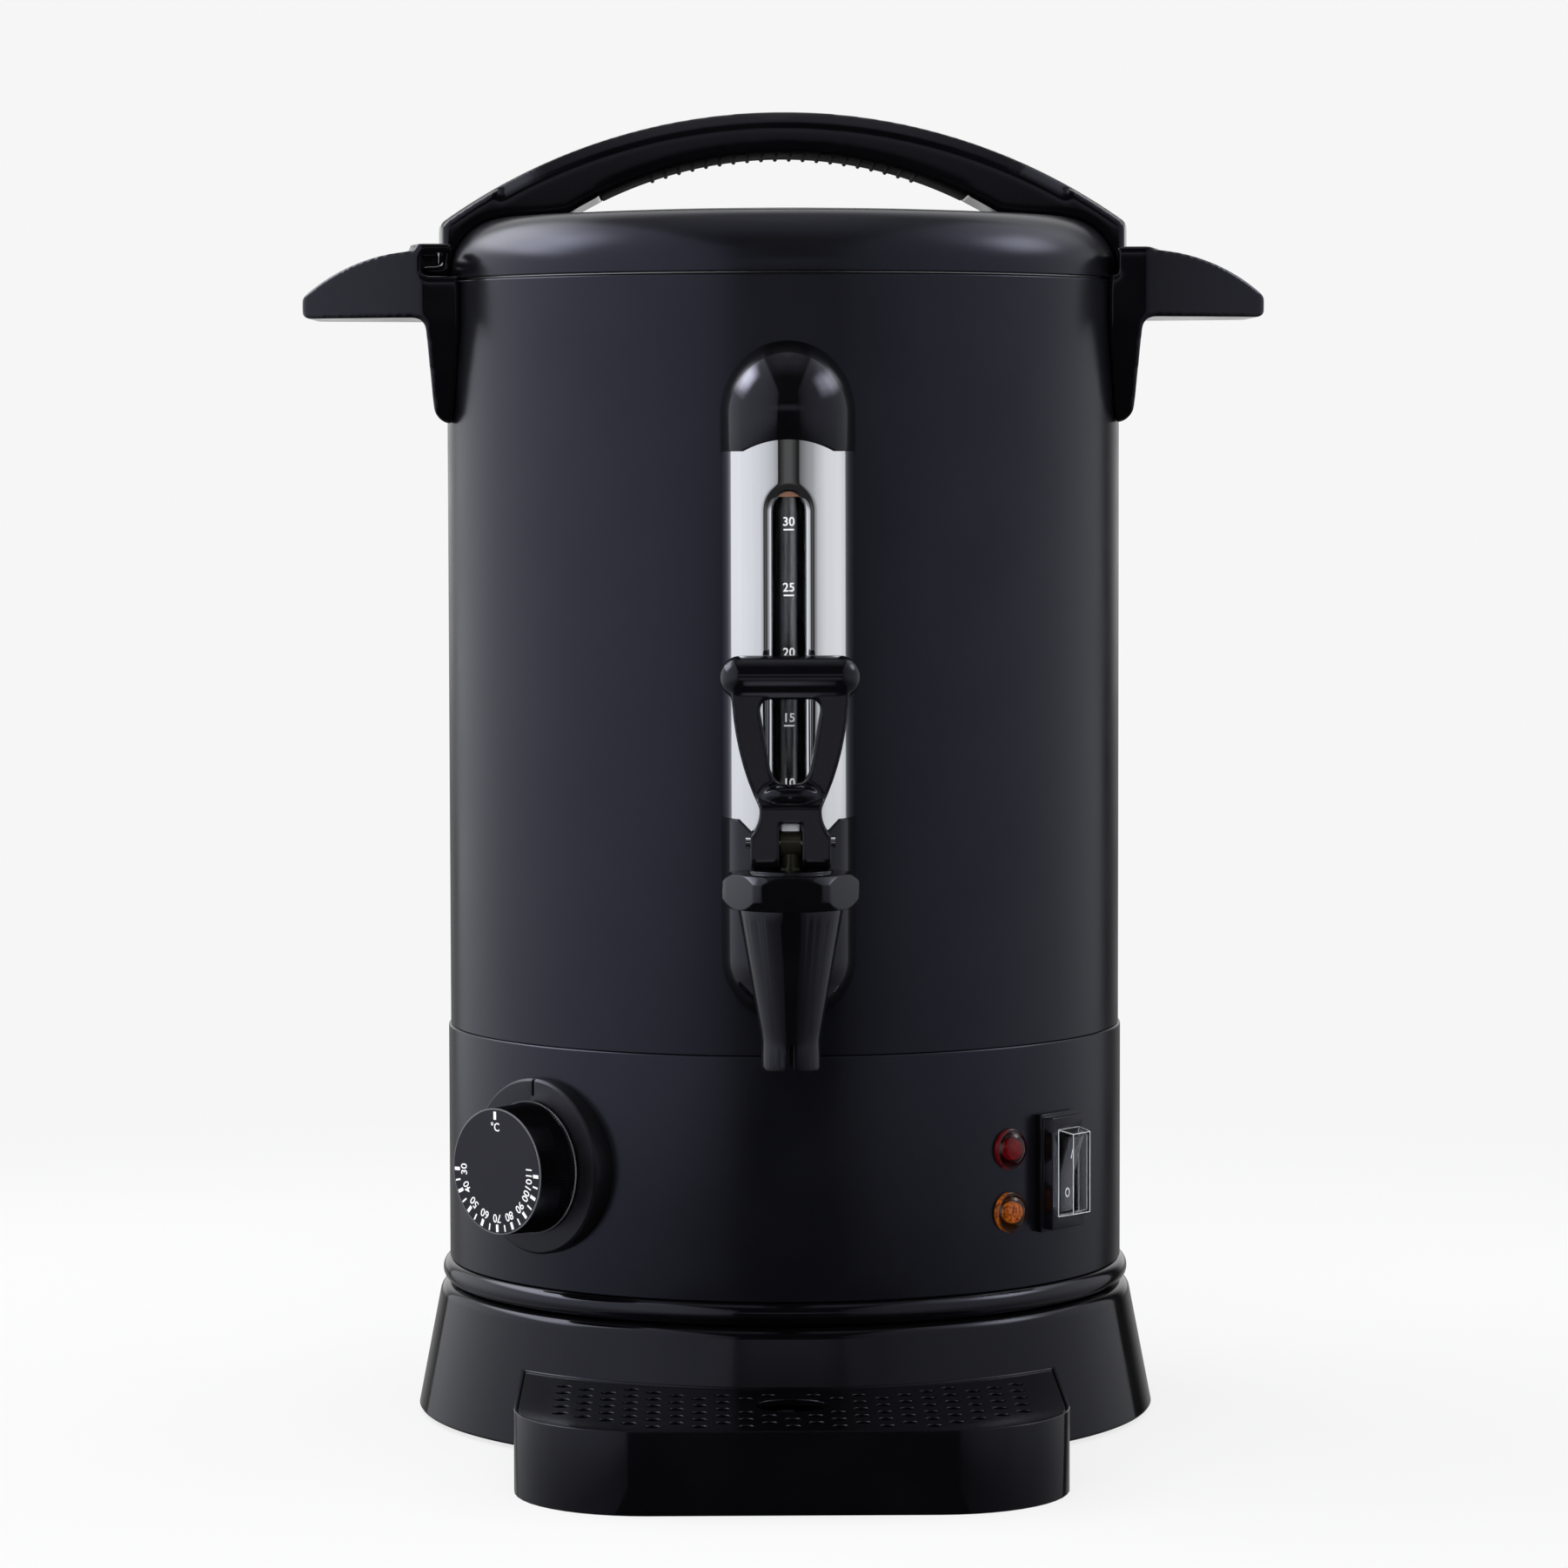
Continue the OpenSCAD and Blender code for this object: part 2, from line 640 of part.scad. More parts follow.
element_post_r = element_tube_r + 0.8;
module heat_shield() color("#b9bcc0") difference() {
    translate([0, 0, housing_z1]) cylinder(r = jacket_ri - 1, h = shield_plate_t);
    for (s = [-1, 1]) rotate([0, 0, s * 10]) translate([0, element_r, housing_z1 - 1])
        cylinder(r = element_post_r + 1, h = 4);
    translate([0, 0, housing_z1 - 1]) cylinder(r = 22, h = 4);
}

// Tubular ring under the vessel's floor, with two posts down to the wiring
module heating_element() color("#7d7f83") translate([0, 0, floor_z - seat_gap - element_tube_r]) {
    rotate([0, 0, 100]) rotate_extrude(angle = 340) translate([element_r, 0]) circle(r = element_tube_r, $fn = 48);
    for (s = [-1, 1]) rotate([0, 0, s * 10]) translate([0, element_r, -element_post_l])
        cylinder(r = element_post_r, h = element_post_l + element_tube_r - 0.4, $fn = 48);
}

module thermal_cutout() color("#2c2c30") translate([0, 0, floor_z - seat_gap - 7]) {
    cylinder(r = 8, h = 7);
    translate([-15, -4, 5.8]) cube([30, 8, 1.2]);
    for (s = [-1, 1]) translate([s * 4 - 1.5, -0.4, -7]) cube([3, 0.8, 7]);
}

module outer_jacket() color(black) difference() {
    rotate_extrude($fn = 180) polygon([[jacket_ri, housing_z1], [body_r, housing_z1], [body_r, jacket_z1],
        [body_r - rim_curl, jacket_z1], [body_r - rim_curl, jacket_z1 - sheet_t], [jacket_ri, jacket_z1 - sheet_t]]);
    facing_front(0, shank_z) cylinder(r = shank_r + fit_gap, h = body_r + 5);
    gauge_screw_places() screw_hole(20);
    for (a = [0, 180]) rotate([0, 0, a]) handle_screw_places() screw_hole(20);
}

module vessel() color("#b4b7bb") difference() {
    rotate_extrude($fn = 180) union() {
        difference() {
            polygon(cup(vessel_r, floor_z, rim_z, floor_corner));
            polygon(cup(vessel_ri, floor_z + vessel_t, rim_z + 1, floor_corner - vessel_t));
        }
        translate([vessel_r - vessel_t / 2, jacket_z1]) square([body_r - 1.5 - vessel_r + vessel_t / 2, vessel_t]);
    }
    facing_front(0, shank_z) cylinder(r = shank_r + fit_gap, h = body_r);
}

module thermostat() color("#d8d4c8") on_wall(knob_az, knob_z) difference() {
    union() {
        translate([-thermostat_w / 2, -thermostat_w / 2, thermostat_front - thermostat_d])
            cube([thermostat_w, thermostat_w, thermostat_d]);
        translate([0, 0, thermostat_front]) cylinder(r = bush_r, h = bush_end - thermostat_front);
    }
    translate([0, 0, thermostat_front - 10]) cylinder(r = shaft_r + fit_gap, h = 60);
}

module knob_bezel() color(black) difference() {
    on_wall(knob_az, knob_z) difference() {
        union() {
            translate([0, 0, housing_r - 6]) cylinder(r = bezel_r, h = bezel_t + 5.2);
            translate([0, 0, bezel_z - 0.8]) cylinder(r1 = bezel_r, r2 = bezel_r - 0.8, h = 0.8);
        }
        translate([0, 0, housing_r - 7]) cylinder(r = bush_r + fit_gap, h = 20);
        translate([-0.6, bezel_r - 5.5, bezel_z - 0.8]) cube([1.2, 6, 2]);
    }
    cylinder(r = housing_r + seat_gap, h = housing_z1, $fn = 180);
}

module knob_shaft() color(steel) on_wall(knob_az, knob_z) translate([0, 0, thermostat_front - 9])
    cylinder(r = shaft_r, h = knob_front - 4 - thermostat_front + 9);

// Outline of the knob's ribbed side
function knurl(n, r, d) = [for (i = [0:2 * n - 1])
    let (a = i * 180 / n, q = r - (i % 2) * d) q * [cos(a), sin(a)]];

module knob() color(gloss) on_wall(knob_az, knob_z) difference() {
    union() {
        translate([0, 0, knob_base]) linear_extrude(knob_h - 1.2) polygon(knurl(knob_ribs, knob_r, knob_rib_d));
        translate([0, 0, knob_front - 1.2]) cylinder(r1 = knob_face_r, r2 = knob_face_r - 0.6, h = 1.2);
    }
    translate([0, 0, knob_base - 1]) cylinder(r = shaft_r + fit_gap, h = knob_h - 3 + 0.05);
    translate([0, 0, knob_base - 1]) tube(knob_r - 2.6, bush_r + 3, knob_h - 4);
}

// Lamp with a domed lens: rim on the wall, barrel through it
module lamp(z) on_wall(lamp_az, z) rotate_extrude($fn = 48) polygon(concat(
    [[0, housing_ri - 12], [barrel_r, housing_ri - 12]],
    [[barrel_r, housing_r + 0.02], [lamp_rim_r, housing_r + 0.02]],
    arc([lamp_rim_r - 0.7, housing_r + 0.7], 0.7, 0, 90, 4),
    [for (i = [0:8]) let (a = i * 11.25) [lens_r * cos(a), housing_r + 1.4 + lens_h * sin(a)]]));

module lamp_red() color("#8c1018") lamp(lamp_z + lamp_pitch / 2);

module lamp_amber() color("#d46a10") lamp(lamp_z - lamp_pitch / 2);

module rocker_room(d) translate([-rocker_room_w / 2, -rocker_room_h / 2, 0])
    cube([rocker_room_w, rocker_room_h, d]);

module switch_frame() color(gloss) on_wall(switch_az, switch_z) difference() {
    union() {
        translate([-frame_w / 2 - 1, -frame_h / 2 - 1, housing_r + seat_gap]) cube([frame_w + 2, frame_h + 2, 2]);
        translate([-frame_w / 2, -frame_h / 2, housing_r + seat_gap]) cube([frame_w, frame_h, frame_t - seat_gap]);
    }
    translate([0, 0, housing_r - 5]) rocker_room(30);
    translate([0, 0, axle_z]) rotate([0, 90, 0])
        cylinder(r = axle_r + fit_gap, h = rocker_room_w + 3, center = true, $fn = 32);
}

module switch_body() color("#1f1f22") on_wall(switch_az, switch_z) difference() {
    union() {
        translate([-switch_body_w / 2, -switch_body_h / 2, housing_r - switch_depth])
            cube([switch_body_w, switch_body_h, switch_depth]);
        for (i = [-1:1]) translate([-tag_w / 2, i * switch_body_h / 3 - tag_t / 2, housing_r - switch_depth - tag_l])
            cube([tag_w, tag_t, tag_l + 1]);
    }
    translate([0, 0, housing_r - 6]) rocker_room(20);
}

// Rocker with two faces that meet in a shallow valley; it rests with its upper end out
module switch_rocker() color(gloss) on_wall(switch_az, switch_z) translate([0, 0, axle_z])
    rotate([rocker_tilt, 0, 0]) {
    valley = 2.2;
    rise = rocker_h / 2 * tan(rocker_tilt);
    side_extrude(rocker_w) polygon([[0, valley], [rocker_h / 2, valley + rise], [rocker_h / 2 - 0.8, -1.5],
        [0, -4.5], [-rocker_h / 2 + 0.8, -1.5], [-rocker_h / 2, valley + rise]]);
    cross_cylinder(axle_r, rocker_room_w + 2.4, 0, 0, $fn = 32);
}

// Tapered box: outline of its foot w by l, drawn in by the taper over the height h
module tapered_box(w, l, h, taper) intersection() {
    front_extrude(l + 1) polygon([[-w / 2, 0], [w / 2, 0], [w / 2 - taper, h], [-w / 2 + taper, h]]);
    side_extrude(w + 1) polygon([[-l / 2, 0], [l / 2, 0], [l / 2 - taper, h], [-l / 2 + taper, h]]);
}

module switch_cover() color("#c8d0d8", 0.35) on_wall(switch_az, switch_z) translate([0, 0, frame_front])
    difference() {
        tapered_box(clear_w, clear_l, clear_h, clear_taper);
        translate([0, 0, -0.01])
            tapered_box(clear_w - 2 * clear_t, clear_l - 2 * clear_t, clear_h - clear_t, clear_taper);
    }

// Shank through the wall, with a tee that carries the sight tube
module shank_tee() color("#a9acb0") difference() {
    union() {
        facing_front(0, shank_z) translate([0, 0, -shank_y0]) cylinder(r = shank_r, h = shank_y0 - shank_y1);
        facing_front(0, shank_z) translate([0, 0, body_r + 1.2]) cylinder(r = boss_r, h = 2.4);
        translate([0, tube_y, shank_z]) cylinder(r = tee_r, h = tee_z1 - shank_z);
    }
    facing_front(0, shank_z) translate([0, 0, -shank_y0 - 1])
        cylinder(r = shank_bore_r, h = shank_y0 - shank_y1 + 2);
    translate([0, tube_y, shank_z]) cylinder(r = tube_r - tube_t, h = 40);
    translate([0, tube_y, tee_socket_z]) cylinder(r = tube_r + fit_gap, h = 40);
}

washer_t = 1;
inner_washer_y = sqrt(vessel_ri ^ 2 - boss_r ^ 2) - seat_gap;
module shank_washers() color("#8a3a2a") facing_front(0, shank_z) {
    translate([0, 0, body_r + seat_gap]) tube(boss_r, shank_r + fit_gap, washer_t);
    translate([0, 0, inner_washer_y - 2]) tube(boss_r, shank_r + fit_gap, 2);
}

module shank_nut() color(steel) facing_front(0, shank_z) translate([0, 0, inner_washer_y - 8]) difference() {
    cylinder(r = boss_r + 1, h = 6, $fn = 6);
    translate([0, 0, -1]) cylinder(r = shank_r + fit_gap, h = 8);
}

// Half-round capsule of radius r in front of the jacket, straight from z0 to z1, domed on one end
module gauge_form(r, z0, z1, dome_z) translate([0, gauge_y, 0]) {
    translate([0, 0, z0]) cylinder(r = r, h = z1 - z0);
    translate([0, 0, dome_z]) sphere(r = r);
}

// Lower cover of the gauge: domed below, notched above behind the lever
module gauge_cover() color(gloss) difference() {
    gauge_form(cap_r, cover_dome_z, cover_z1, cover_dome_z);
    difference() {
        gauge_form(cap_r - cover_t, cover_dome_z, cover_z1 + 1, cover_dome_z);
        translate([-50, -body_r - 60, cover_dome_z - 100]) cube([100, 100, 100 - cap_r + 6]);
    }
    translate([0, gauge_y, cover_z0 - shield_tuck]) cylinder(r = gauge_r + fit_gap, h = 40);
    front_extrude(120, gauge_y) polygon([[-notch_w1 / 2, cover_z1 + 1], [-notch_w1 / 2, cover_z1],
        [-notch_w0 / 2, cover_z0], [notch_w0 / 2, cover_z0], [notch_w1 / 2, cover_z1], [notch_w1 / 2, cover_z1 + 1]]);
    facing_front(0, shank_z) cylinder(r = boss_r + run_gap, h = body_r + 60);
    jacket_solid(seat_gap);
}

// Domed cap on top of the gauge, with an arched lower edge
module gauge_cap() color(gloss) difference() {
    gauge_form(cap_r, cap_z0, cap_dome_z, cap_dome_z);
    translate([0, gauge_y, cap_z0 - 40]) cylinder(r = cap_r + 1, h = 40);
    front_extrude(120, gauge_y) translate([0, cap_z0 + cap_arch - cap_arch_r]) circle(r = cap_arch_r);
    translate([0, gauge_y, cap_z0 - 1]) tube(gauge_r + fit_gap, gauge_r - shield_t - fit_gap, shield_tuck + 1.1);
    translate([0, tube_y, cap_z0 - 1]) cylinder(r = sleeve_r + fit_gap, h = tube_z1 - cap_z0 + 1.2);
    jacket_solid(seat_gap);
    gauge_screw_places() screw_hole(gauge_screw_l + 0.1);
}

// Outline of the sight slot, w wide, in X and Z
module slot_outline(w) {
    translate([-w / 2, slot_z0 - 20]) square([w, slot_z1 - w / 2 - slot_z0 + 20]);
    translate([0, slot_z1 - w / 2]) circle(r = w / 2);
}

// Half-round polished sheet with a slot whose edge turns inwards
module gauge_shield() color("#e4e6e8") difference() {
    z0 = cover_z0 - shield_tuck + seat_gap;
    union() {
        translate([0, gauge_y, z0]) tube(gauge_r, gauge_r - shield_t, cap_z0 + shield_tuck - z0);
        intersection() {
            front_extrude(60, gauge_y - 30) slot_outline(slot_w + 2 * shield_t);
            translate([0, gauge_y, z0 + 1])
                tube(gauge_r - shield_t / 2, gauge_r - shield_t - slot_lip, sleeve_z0 - run_gap - z0 - 1);
        }
    }
    front_extrude(60, gauge_y - 30) slot_outline(slot_w);
    jacket_solid(seat_gap);
}

module gauge_tube() color("#aab6be", 0.4) translate([0, tube_y, tee_socket_z + seat_gap])
    tube(tube_r, tube_r - tube_t, tube_z1 - tee_socket_z - seat_gap);

module gauge_seals() color("#7a4a34") translate([0, tube_y, 0]) {
    translate([0, 0, tee_z1]) tube(tee_r, tube_r + fit_gap, 2.5);
    translate([0, 0, sleeve_z0]) tube(sleeve_r, tube_r + fit_gap, tube_z1 - sleeve_z0);
}

gauge_screw_x = 11;
gauge_screw_y = sqrt(jacket_ri ^ 2 - (gauge_screw_x + screw_head_r) ^ 2) - seat_gap;
module gauge_screw_places() for (s = [-1, 1])
    facing_front(s * gauge_screw_x, cap_dome_z) translate([0, 0, gauge_screw_y])
    children();

module gauge_screws() color(steel) gauge_screw_places() translate([0, 0, -screw_head_h]) screw(gauge_screw_l);

// Body of the tap: conical spout, chamber with a seat, and the boss that takes the shank
module tap_body() color(gloss) translate([0, tap_y, 0]) difference() {
    union() {
        rotate_extrude() polygon([[0, tip_z], [tip_r + 0.2, tip_z], [tip_r, tip_z + tip_l], [tap_r, bonnet_z0],
            [thread_r, bonnet_z0], [thread_r, bonnet_z1 - 3], [0, bonnet_z1 - 3]]);
        difference() {
            facing_front(0, shank_z) translate([0, 0, tap_y - boss_y]) cylinder(r = boss_r, h = boss_y - tap_y);
            translate([-boss_r, -1, bonnet_z0 - seat_gap]) cube([2 * boss_r, boss_y - tap_y + 2, boss_r]);
        }
    }
    rotate_extrude() polygon([[0, tip_z - 1], [spout_bore_r, tip_z - 1], [spout_bore_r, seat_z0], [chamber_r, seat_z1],
        [chamber_r, bonnet_z1], [0, bonnet_z1]]);
    facing_front(0, shank_z) translate([0, 0, tap_y - boss_y - 1])
        cylinder(r = shank_r + fit_gap, h = boss_y - shank_y1 + 1);
    facing_front(0, shank_z) translate([0, 0, tap_y - boss_y - 1]) cylinder(r = shank_bore_r, h = boss_y - tap_y);
    translate([-slit_w / 2, -tip_r - 1, tip_z - 1]) cube([slit_w, tip_r, tip_l]);
}

// Six-sided bonnet with chamfered corners, a collar and the stem's guide
module tap_bonnet() color(gloss) translate([0, tap_y, 0]) difference() {
    union() {
        intersection() {
            translate([0, 0, bonnet_z0]) cylinder(r = bonnet_r, h = bonnet_h, $fn = 6);
            rotate_extrude() polygon([[0, bonnet_z0], [bonnet_r - 3, bonnet_z0], [bonnet_r - 0.7, bonnet_z0 + 3],
                [bonnet_r - 0.7, bonnet_z1 - 2.5], [bonnet_r - 2.8, bonnet_z1], [0, bonnet_z1]]);
        }
        translate([0, 0, bonnet_z1]) cylinder(r = collar_r, h = collar_z - bonnet_z1);
    }
    translate([0, 0, bonnet_z0 - 1]) cylinder(r = thread_r + fit_gap, h = bonnet_h - 1.9);
    cylinder(r = stem_r + fit_gap, h = collar_z + 1);
}

module tap_stem() color("#b9bda8") translate([0, tap_y, 0]) difference() {
    union() {
        translate([0, 0, seat_z0 + 5]) cylinder(r = stem_r, h = pin_z - seat_z0 - 5);
        cross_cylinder(head_r, head_w, 0, pin_z);
    }
    cross_cylinder(pin_r + fit_gap, head_w + 2, 0, pin_z);
}

// Silicone plug on the stem, seated in the chamber's cone
module tap_seat() color("#c8b8a8") translate([0, tap_y, 0]) difference() {
    rotate_extrude() polygon([[0, seat_z0 + 0.3], [spout_bore_r - 0.1, seat_z0 + 0.3],
        [chamber_r - 0.6, seat_z1], [chamber_r - 0.6, seat_z1 + 1.2], [stem_r + 1.6, seat_z1 + 5],
        [stem_r + 1.6, seat_z1 + 10], [0, seat_z1 + 10]]);
    translate([0, 0, seat_z0 + 5]) cylinder(r = stem_r + fit_gap, h = 40);
}

module tap_pin() color(steel) cross_cylinder(pin_r, pin_l, tap_y, pin_z);

// Points of a curve from a to c that is drawn towards b
function bow(a, b, c, n = 8) = [for (i = [0:n]) let (t = i / n) (1 - t) ^ 2 * a + 2 * t * (1 - t) * b + t ^ 2 * c];

// Half outline of the lever's legs and foot, from the crossbar down
function lever_side() = concat(
    bow([legs_w / 2, bar_z - 2], [legs_w / 2 - 0.5, bar_z - 24], [neck_w / 2, neck_z]),
    bow([neck_w / 2 + 0.1, neck_z - 1], [neck_w / 2 + 0.1, neck_z - 4.5], [foot_w / 2, pin_z + 2.5], 5),
    [[foot_w / 2, lever_z0]]);

// Side outline of the foot, with a rounded heel and toe
module foot_side() translate([tap_y, 0]) polygon(concat(
    [[-foot_d / 2, neck_z + 1]],
    arc([-foot_d / 2 + heel_r, lever_z0 + heel_r], heel_r, 180, 270, 6),
    arc([foot_d / 2 - heel_r, lever_z0 + heel_r], heel_r, 270, 360, 6),
    [[foot_d / 2, neck_z + 1], [lever_d / 2, neck_z + 4], [lever_d / 2, bar_z], [-lever_d / 2, bar_z],
     [-lever_d / 2, neck_z + 4]]));

// Window between the lever's legs: wide and square above, round below
module lever_window() {
    low_r = 6.3;
    high_r = 3;
    half = legs_w / 2 - leg_w;
    hull($fn = 32) {
        for (s = [-1, 1]) translate([s * (half - high_r), bar_z - bar_r - high_r]) circle(r = high_r);
        translate([0, neck_z + 7 + low_r]) circle(r = low_r);
    }
}

module tap_lever() color(gloss) difference() {
    union() {
        intersection() {
            front_extrude(40, tap_y) polygon(concat(lever_side(), [for (i = [len(lever_side()) - 1:-1:0])
                [-lever_side()[i].x, lever_side()[i].y]]));
            side_extrude(80) foot_side();
        }
        cross_cylinder(bar_r, bar_w - 2 * bar_r, tap_y, bar_z);
        for (s = [-1, 1]) translate([s * (bar_w / 2 - bar_r), tap_y, bar_z]) sphere(r = bar_r);
    }
    front_extrude(60, tap_y) lever_window();
    translate([-clevis_w / 2, tap_y - 30, lever_z0 - 1]) cube([clevis_w, 60, pin_z + head_r + 2 - lever_z0 + 1]);
    cross_cylinder(pin_r + fit_gap, foot_w + 2, tap_y, pin_z);
}

// Screws of a side handle, on the +X side, from inside the jacket outwards
handle_screw_x = sqrt(jacket_ri ^ 2 - (handle_screw_y + screw_head_r) ^ 2) - seat_gap;
module handle_screw_places() for (s = [-1, 1]) translate([handle_screw_x, s * handle_screw_y, handle_screw_z])
    rotate([0, 90, 0]) children();

module handle_screws() color(steel) for (a = [0, 180]) rotate([0, 0, a]) handle_screw_places()
    translate([0, 0, -screw_head_h]) screw(body_r - handle_screw_x + handle_leg_t - 3);

// Outline of a side handle in X and Z: grip with a curved top and a blunt tip, and the leg on the jacket
module handle_outline() {
    leg_x = body_r + handle_leg_t;
    top_c = [handle_root_x, handle_z1 - handle_top_r];
    tip_x = handle_tip_x - handle_tip;
    tip_a = acos((tip_x - top_c.x) / (handle_top_r - handle_tip));
    tip_z = top_c.y + (handle_top_r - handle_tip) * sin(tip_a);
    polygon(concat(
        [[body_r - 20, handle_leg_z + 6], [body_r - 20, handle_z1]],
        arc(top_c, handle_top_r, 90, tip_a, 12),
        arc([tip_x, tip_z], handle_tip, tip_a, 0, 4),
        arc([tip_x, handle_z0 + handle_tip], handle_tip, 0, -90, 6),
        arc([leg_x + 4, handle_z0 - 4], 4, 90, 180, 6),
        arc([leg_x - 2 - 6, handle_leg_z + 6], 6, 0, -90, 6),
        [[body_r - 20, handle_leg_z]]));
}

// Outline of a side handle in Y and Z: the leg narrows downwards
module handle_side_outline() polygon([
    [-handle_leg_w / 2 + 5, handle_leg_z - 1], [handle_leg_w / 2 - 5, handle_leg_z - 1],
    [handle_leg_w / 2, handle_leg_z + 5], [handle_w / 2, handle_z0 - 2], [handle_w / 2, hook_z2 + 1],
    [-handle_w / 2, hook_z2 + 1], [-handle_w / 2, handle_z0 - 2], [-handle_leg_w / 2, handle_leg_z + 5]]);

// Plan of a side handle: the grip's bowed sides narrow towards its tip
module handle_plan() {
    half = handle_w / 2;
    side_r = (handle_tip_x - handle_root_x) / (sin(tip_lean) - sin(root_lean));
    side_c = [handle_root_x - side_r * sin(root_lean), side_r * cos(root_lean) - half];
    tip_x = handle_tip_x - handle_corner;
    tip = [tip_x, side_c.y - sqrt((side_r - handle_corner) ^ 2 - (tip_x - side_c.x) ^ 2)];
    tip_a = atan2(tip.y - side_c.y, tip.x - side_c.x);
    edge = concat([[0, -half - 1], [handle_root_x, -half - 1]],
        arc(side_c, side_r, root_lean - 90, tip_a, 10), arc(tip, handle_corner, tip_a, 0, 5));
    polygon(concat(edge, [for (i = [len(edge) - 1:-1:0]) [edge[i].x, -edge[i].y]]));
}

// Side handle on +X: its hook plate is at the back, over a slot that the lid's lug turns into
module side_handle() color(gloss) difference() {
    intersection() {
        union() {
            front_extrude(handle_w + 2) handle_outline();
            translate([0, 0, handle_z0 + 2]) cylinder(r = bracket_r, h = hook_z2 - handle_z0 - 2, $fn = 180);
        }
        rotate([90, 0, 90]) linear_extrude(300) handle_side_outline();
        linear_extrude(hook_z2 + 10) handle_plan();
    }
    jacket_solid(seat_gap);
    translate([0, 0, rim_z - 3]) cylinder(r = body_r + run_gap + 0.2, h = 60, $fn = 180);
    translate([0, 0, hook_z0]) cylinder(r = leg_r1 + run_gap, h = 60, $fn = 180);
    intersection() {
        translate([0, 0, hook_z0]) cylinder(r = pocket_r, h = 60, $fn = 180);
        translate([0, lug_y - lug_l - 2, 0]) cube([300, plate_y - lug_y + lug_l + 2, 1000]);
    }
    intersection() {
        translate([0, 0, hook_z0]) cylinder(r = pocket_r, h = hook_slot_h, $fn = 180);
        translate([0, plate_y - 1, 0]) cube([300, 100, 1000]);
    }
    translate([0, -handle_w, hook_z2 - 1.3]) cube([300, handle_w + plate_y, 20]);
    handle_screw_places() screw_hole(body_r - handle_screw_x + handle_leg_t - 2.9);
}

module side_handle_right() side_handle();

module side_handle_left() rotate([0, 0, 180]) side_handle();

// Silicone ring with a lip in the vessel's mouth
module lid_seal() color("#55555a") rotate_extrude($fn = 180) {
    lip_r = vessel_ri - run_gap;
    polygon([[lip_r - seal_lip_t, seal_z0 - seal_lip_h], [lip_r, seal_z0 - seal_lip_h], [lip_r, seal_z0],
        [seal_r, seal_z0], [seal_r, seal_z1], [lip_r - seal_lip_t, seal_z1]]);
}

// Lid pressed from sheet, with a ring inside that rests on the seal
module lid_pan() color(black) difference() {
    rotate_extrude($fn = 180) union() {
        difference() {
            polygon(lid_profile(0, lid_z0));
            polygon(lid_profile(sheet_t, lid_z0 - 1));
        }
        translate([vessel_r, lid_ledge_z]) square([body_r - sheet_t / 2 - vessel_r, sheet_t]);
    }
    lid_screw_places() screw_hole(60);
}

module lid_screw_places() for (s = [-1, 1]) translate([s * lid_screw_x, 0, lid_top_z - sheet_t - screw_head_h])
    children();

module lid_screws() color(steel) lid_screw_places() screw(sheet_t + lid_screw_grip);

// Solid of the lid's outside, for seating the handle on it
module lid_solid() rotate_extrude($fn = 180) polygon(lid_profile(-seat_gap, rim_z - 5));

// Ring segment round the finger gap's centre
module gap_ring(r1, r0, w) front_extrude(w) translate([0, gap_zc]) difference() {
    circle(r = r1, $fn = 180);
    circle(r = r0, $fn = 180);
}

// Wedge that holds the grip strip's span
module grip_wedge(a, w) front_extrude(w) translate([0, gap_zc])
    polygon([[0, 0], 300 * [sin(a / 2), cos(a / 2)], 300 * [-sin(a / 2), cos(a / 2)]]);

// Locking lug at the leading end of a leg, on +X
module lug() intersection() {
    translate([0, 0, lug_z]) tube(lug_r, leg_r1 - leg_t / 2, lug_h, $fn = 180);
    translate([0, lug_y - lug_l, 0]) cube([300, lug_l, 1000]);
}

// Arched handle that spans the lid, with legs beside it and a lug on each leg
module lid_handle() color(gloss) difference() {
    union() {
        intersection() {
            translate([0, 0, arch_zc]) rotate([90, 0, 0]) rotate_extrude($fn = 180) polygon([
                [arch_r - 45, -arch_w / 2], [arch_r - arch_chamfer, -arch_w / 2], [arch_r, -arch_w / 2 + arch_chamfer],
                [arch_r, arch_w / 2 - arch_chamfer], [arch_r - arch_chamfer, arch_w / 2], [arch_r - 45, arch_w / 2]]);
            translate([0, 0, lug_z]) cylinder(r = leg_r1, h = 100, $fn = 180);
        }
        intersection() {
            translate([0, 0, lug_z]) cylinder(r = leg_r1, h = 30, $fn = 180);
            for (s = [-1, 1]) translate([s * (crown_r + 20) - 20, -arch_w / 2, 0]) cube([40, arch_w, 1000]);
            translate([0, 0, arch_zc]) rotate([90, 0, 0])
                cylinder(r = arch_r - 1, h = arch_w + 2, center = true, $fn = 180);
        }
        for (a = [0, 180]) rotate([0, 0, a]) lug();
    }
    translate([0, 0, gap_zc]) rotate([90, 0, 0]) cylinder(r = gap_r, h = arch_w + 2, center = true, $fn = 180);
    intersection() {
        gap_ring(gap_r + grip_t + seat_gap, gap_r - 5, arch_w - 2 + 2 * seat_gap);
        grip_wedge(grip_span + 0.1, arch_w);
    }
    lid_solid();
    lid_screw_places() screw_hole(screw_head_h + sheet_t + lid_screw_grip + 0.1);
}

// Grip strip under the arch, with finger ribs across it
module lid_handle_grip() color("#161619") intersection() {
    union() {
        gap_ring(gap_r + grip_t, gap_r, arch_w - 2);
        for (i = [0:rib_count - 1]) let (a = (i - (rib_count - 1) / 2) * rib_pitch)
            translate([gap_r * sin(a), 0, gap_zc + gap_r * cos(a)]) rotate([90, 0, 0])
                cylinder(r = rib_r, h = arch_w - 2, center = true, $fn = 16);
    }
    grip_wedge(grip_span, arch_w);
}

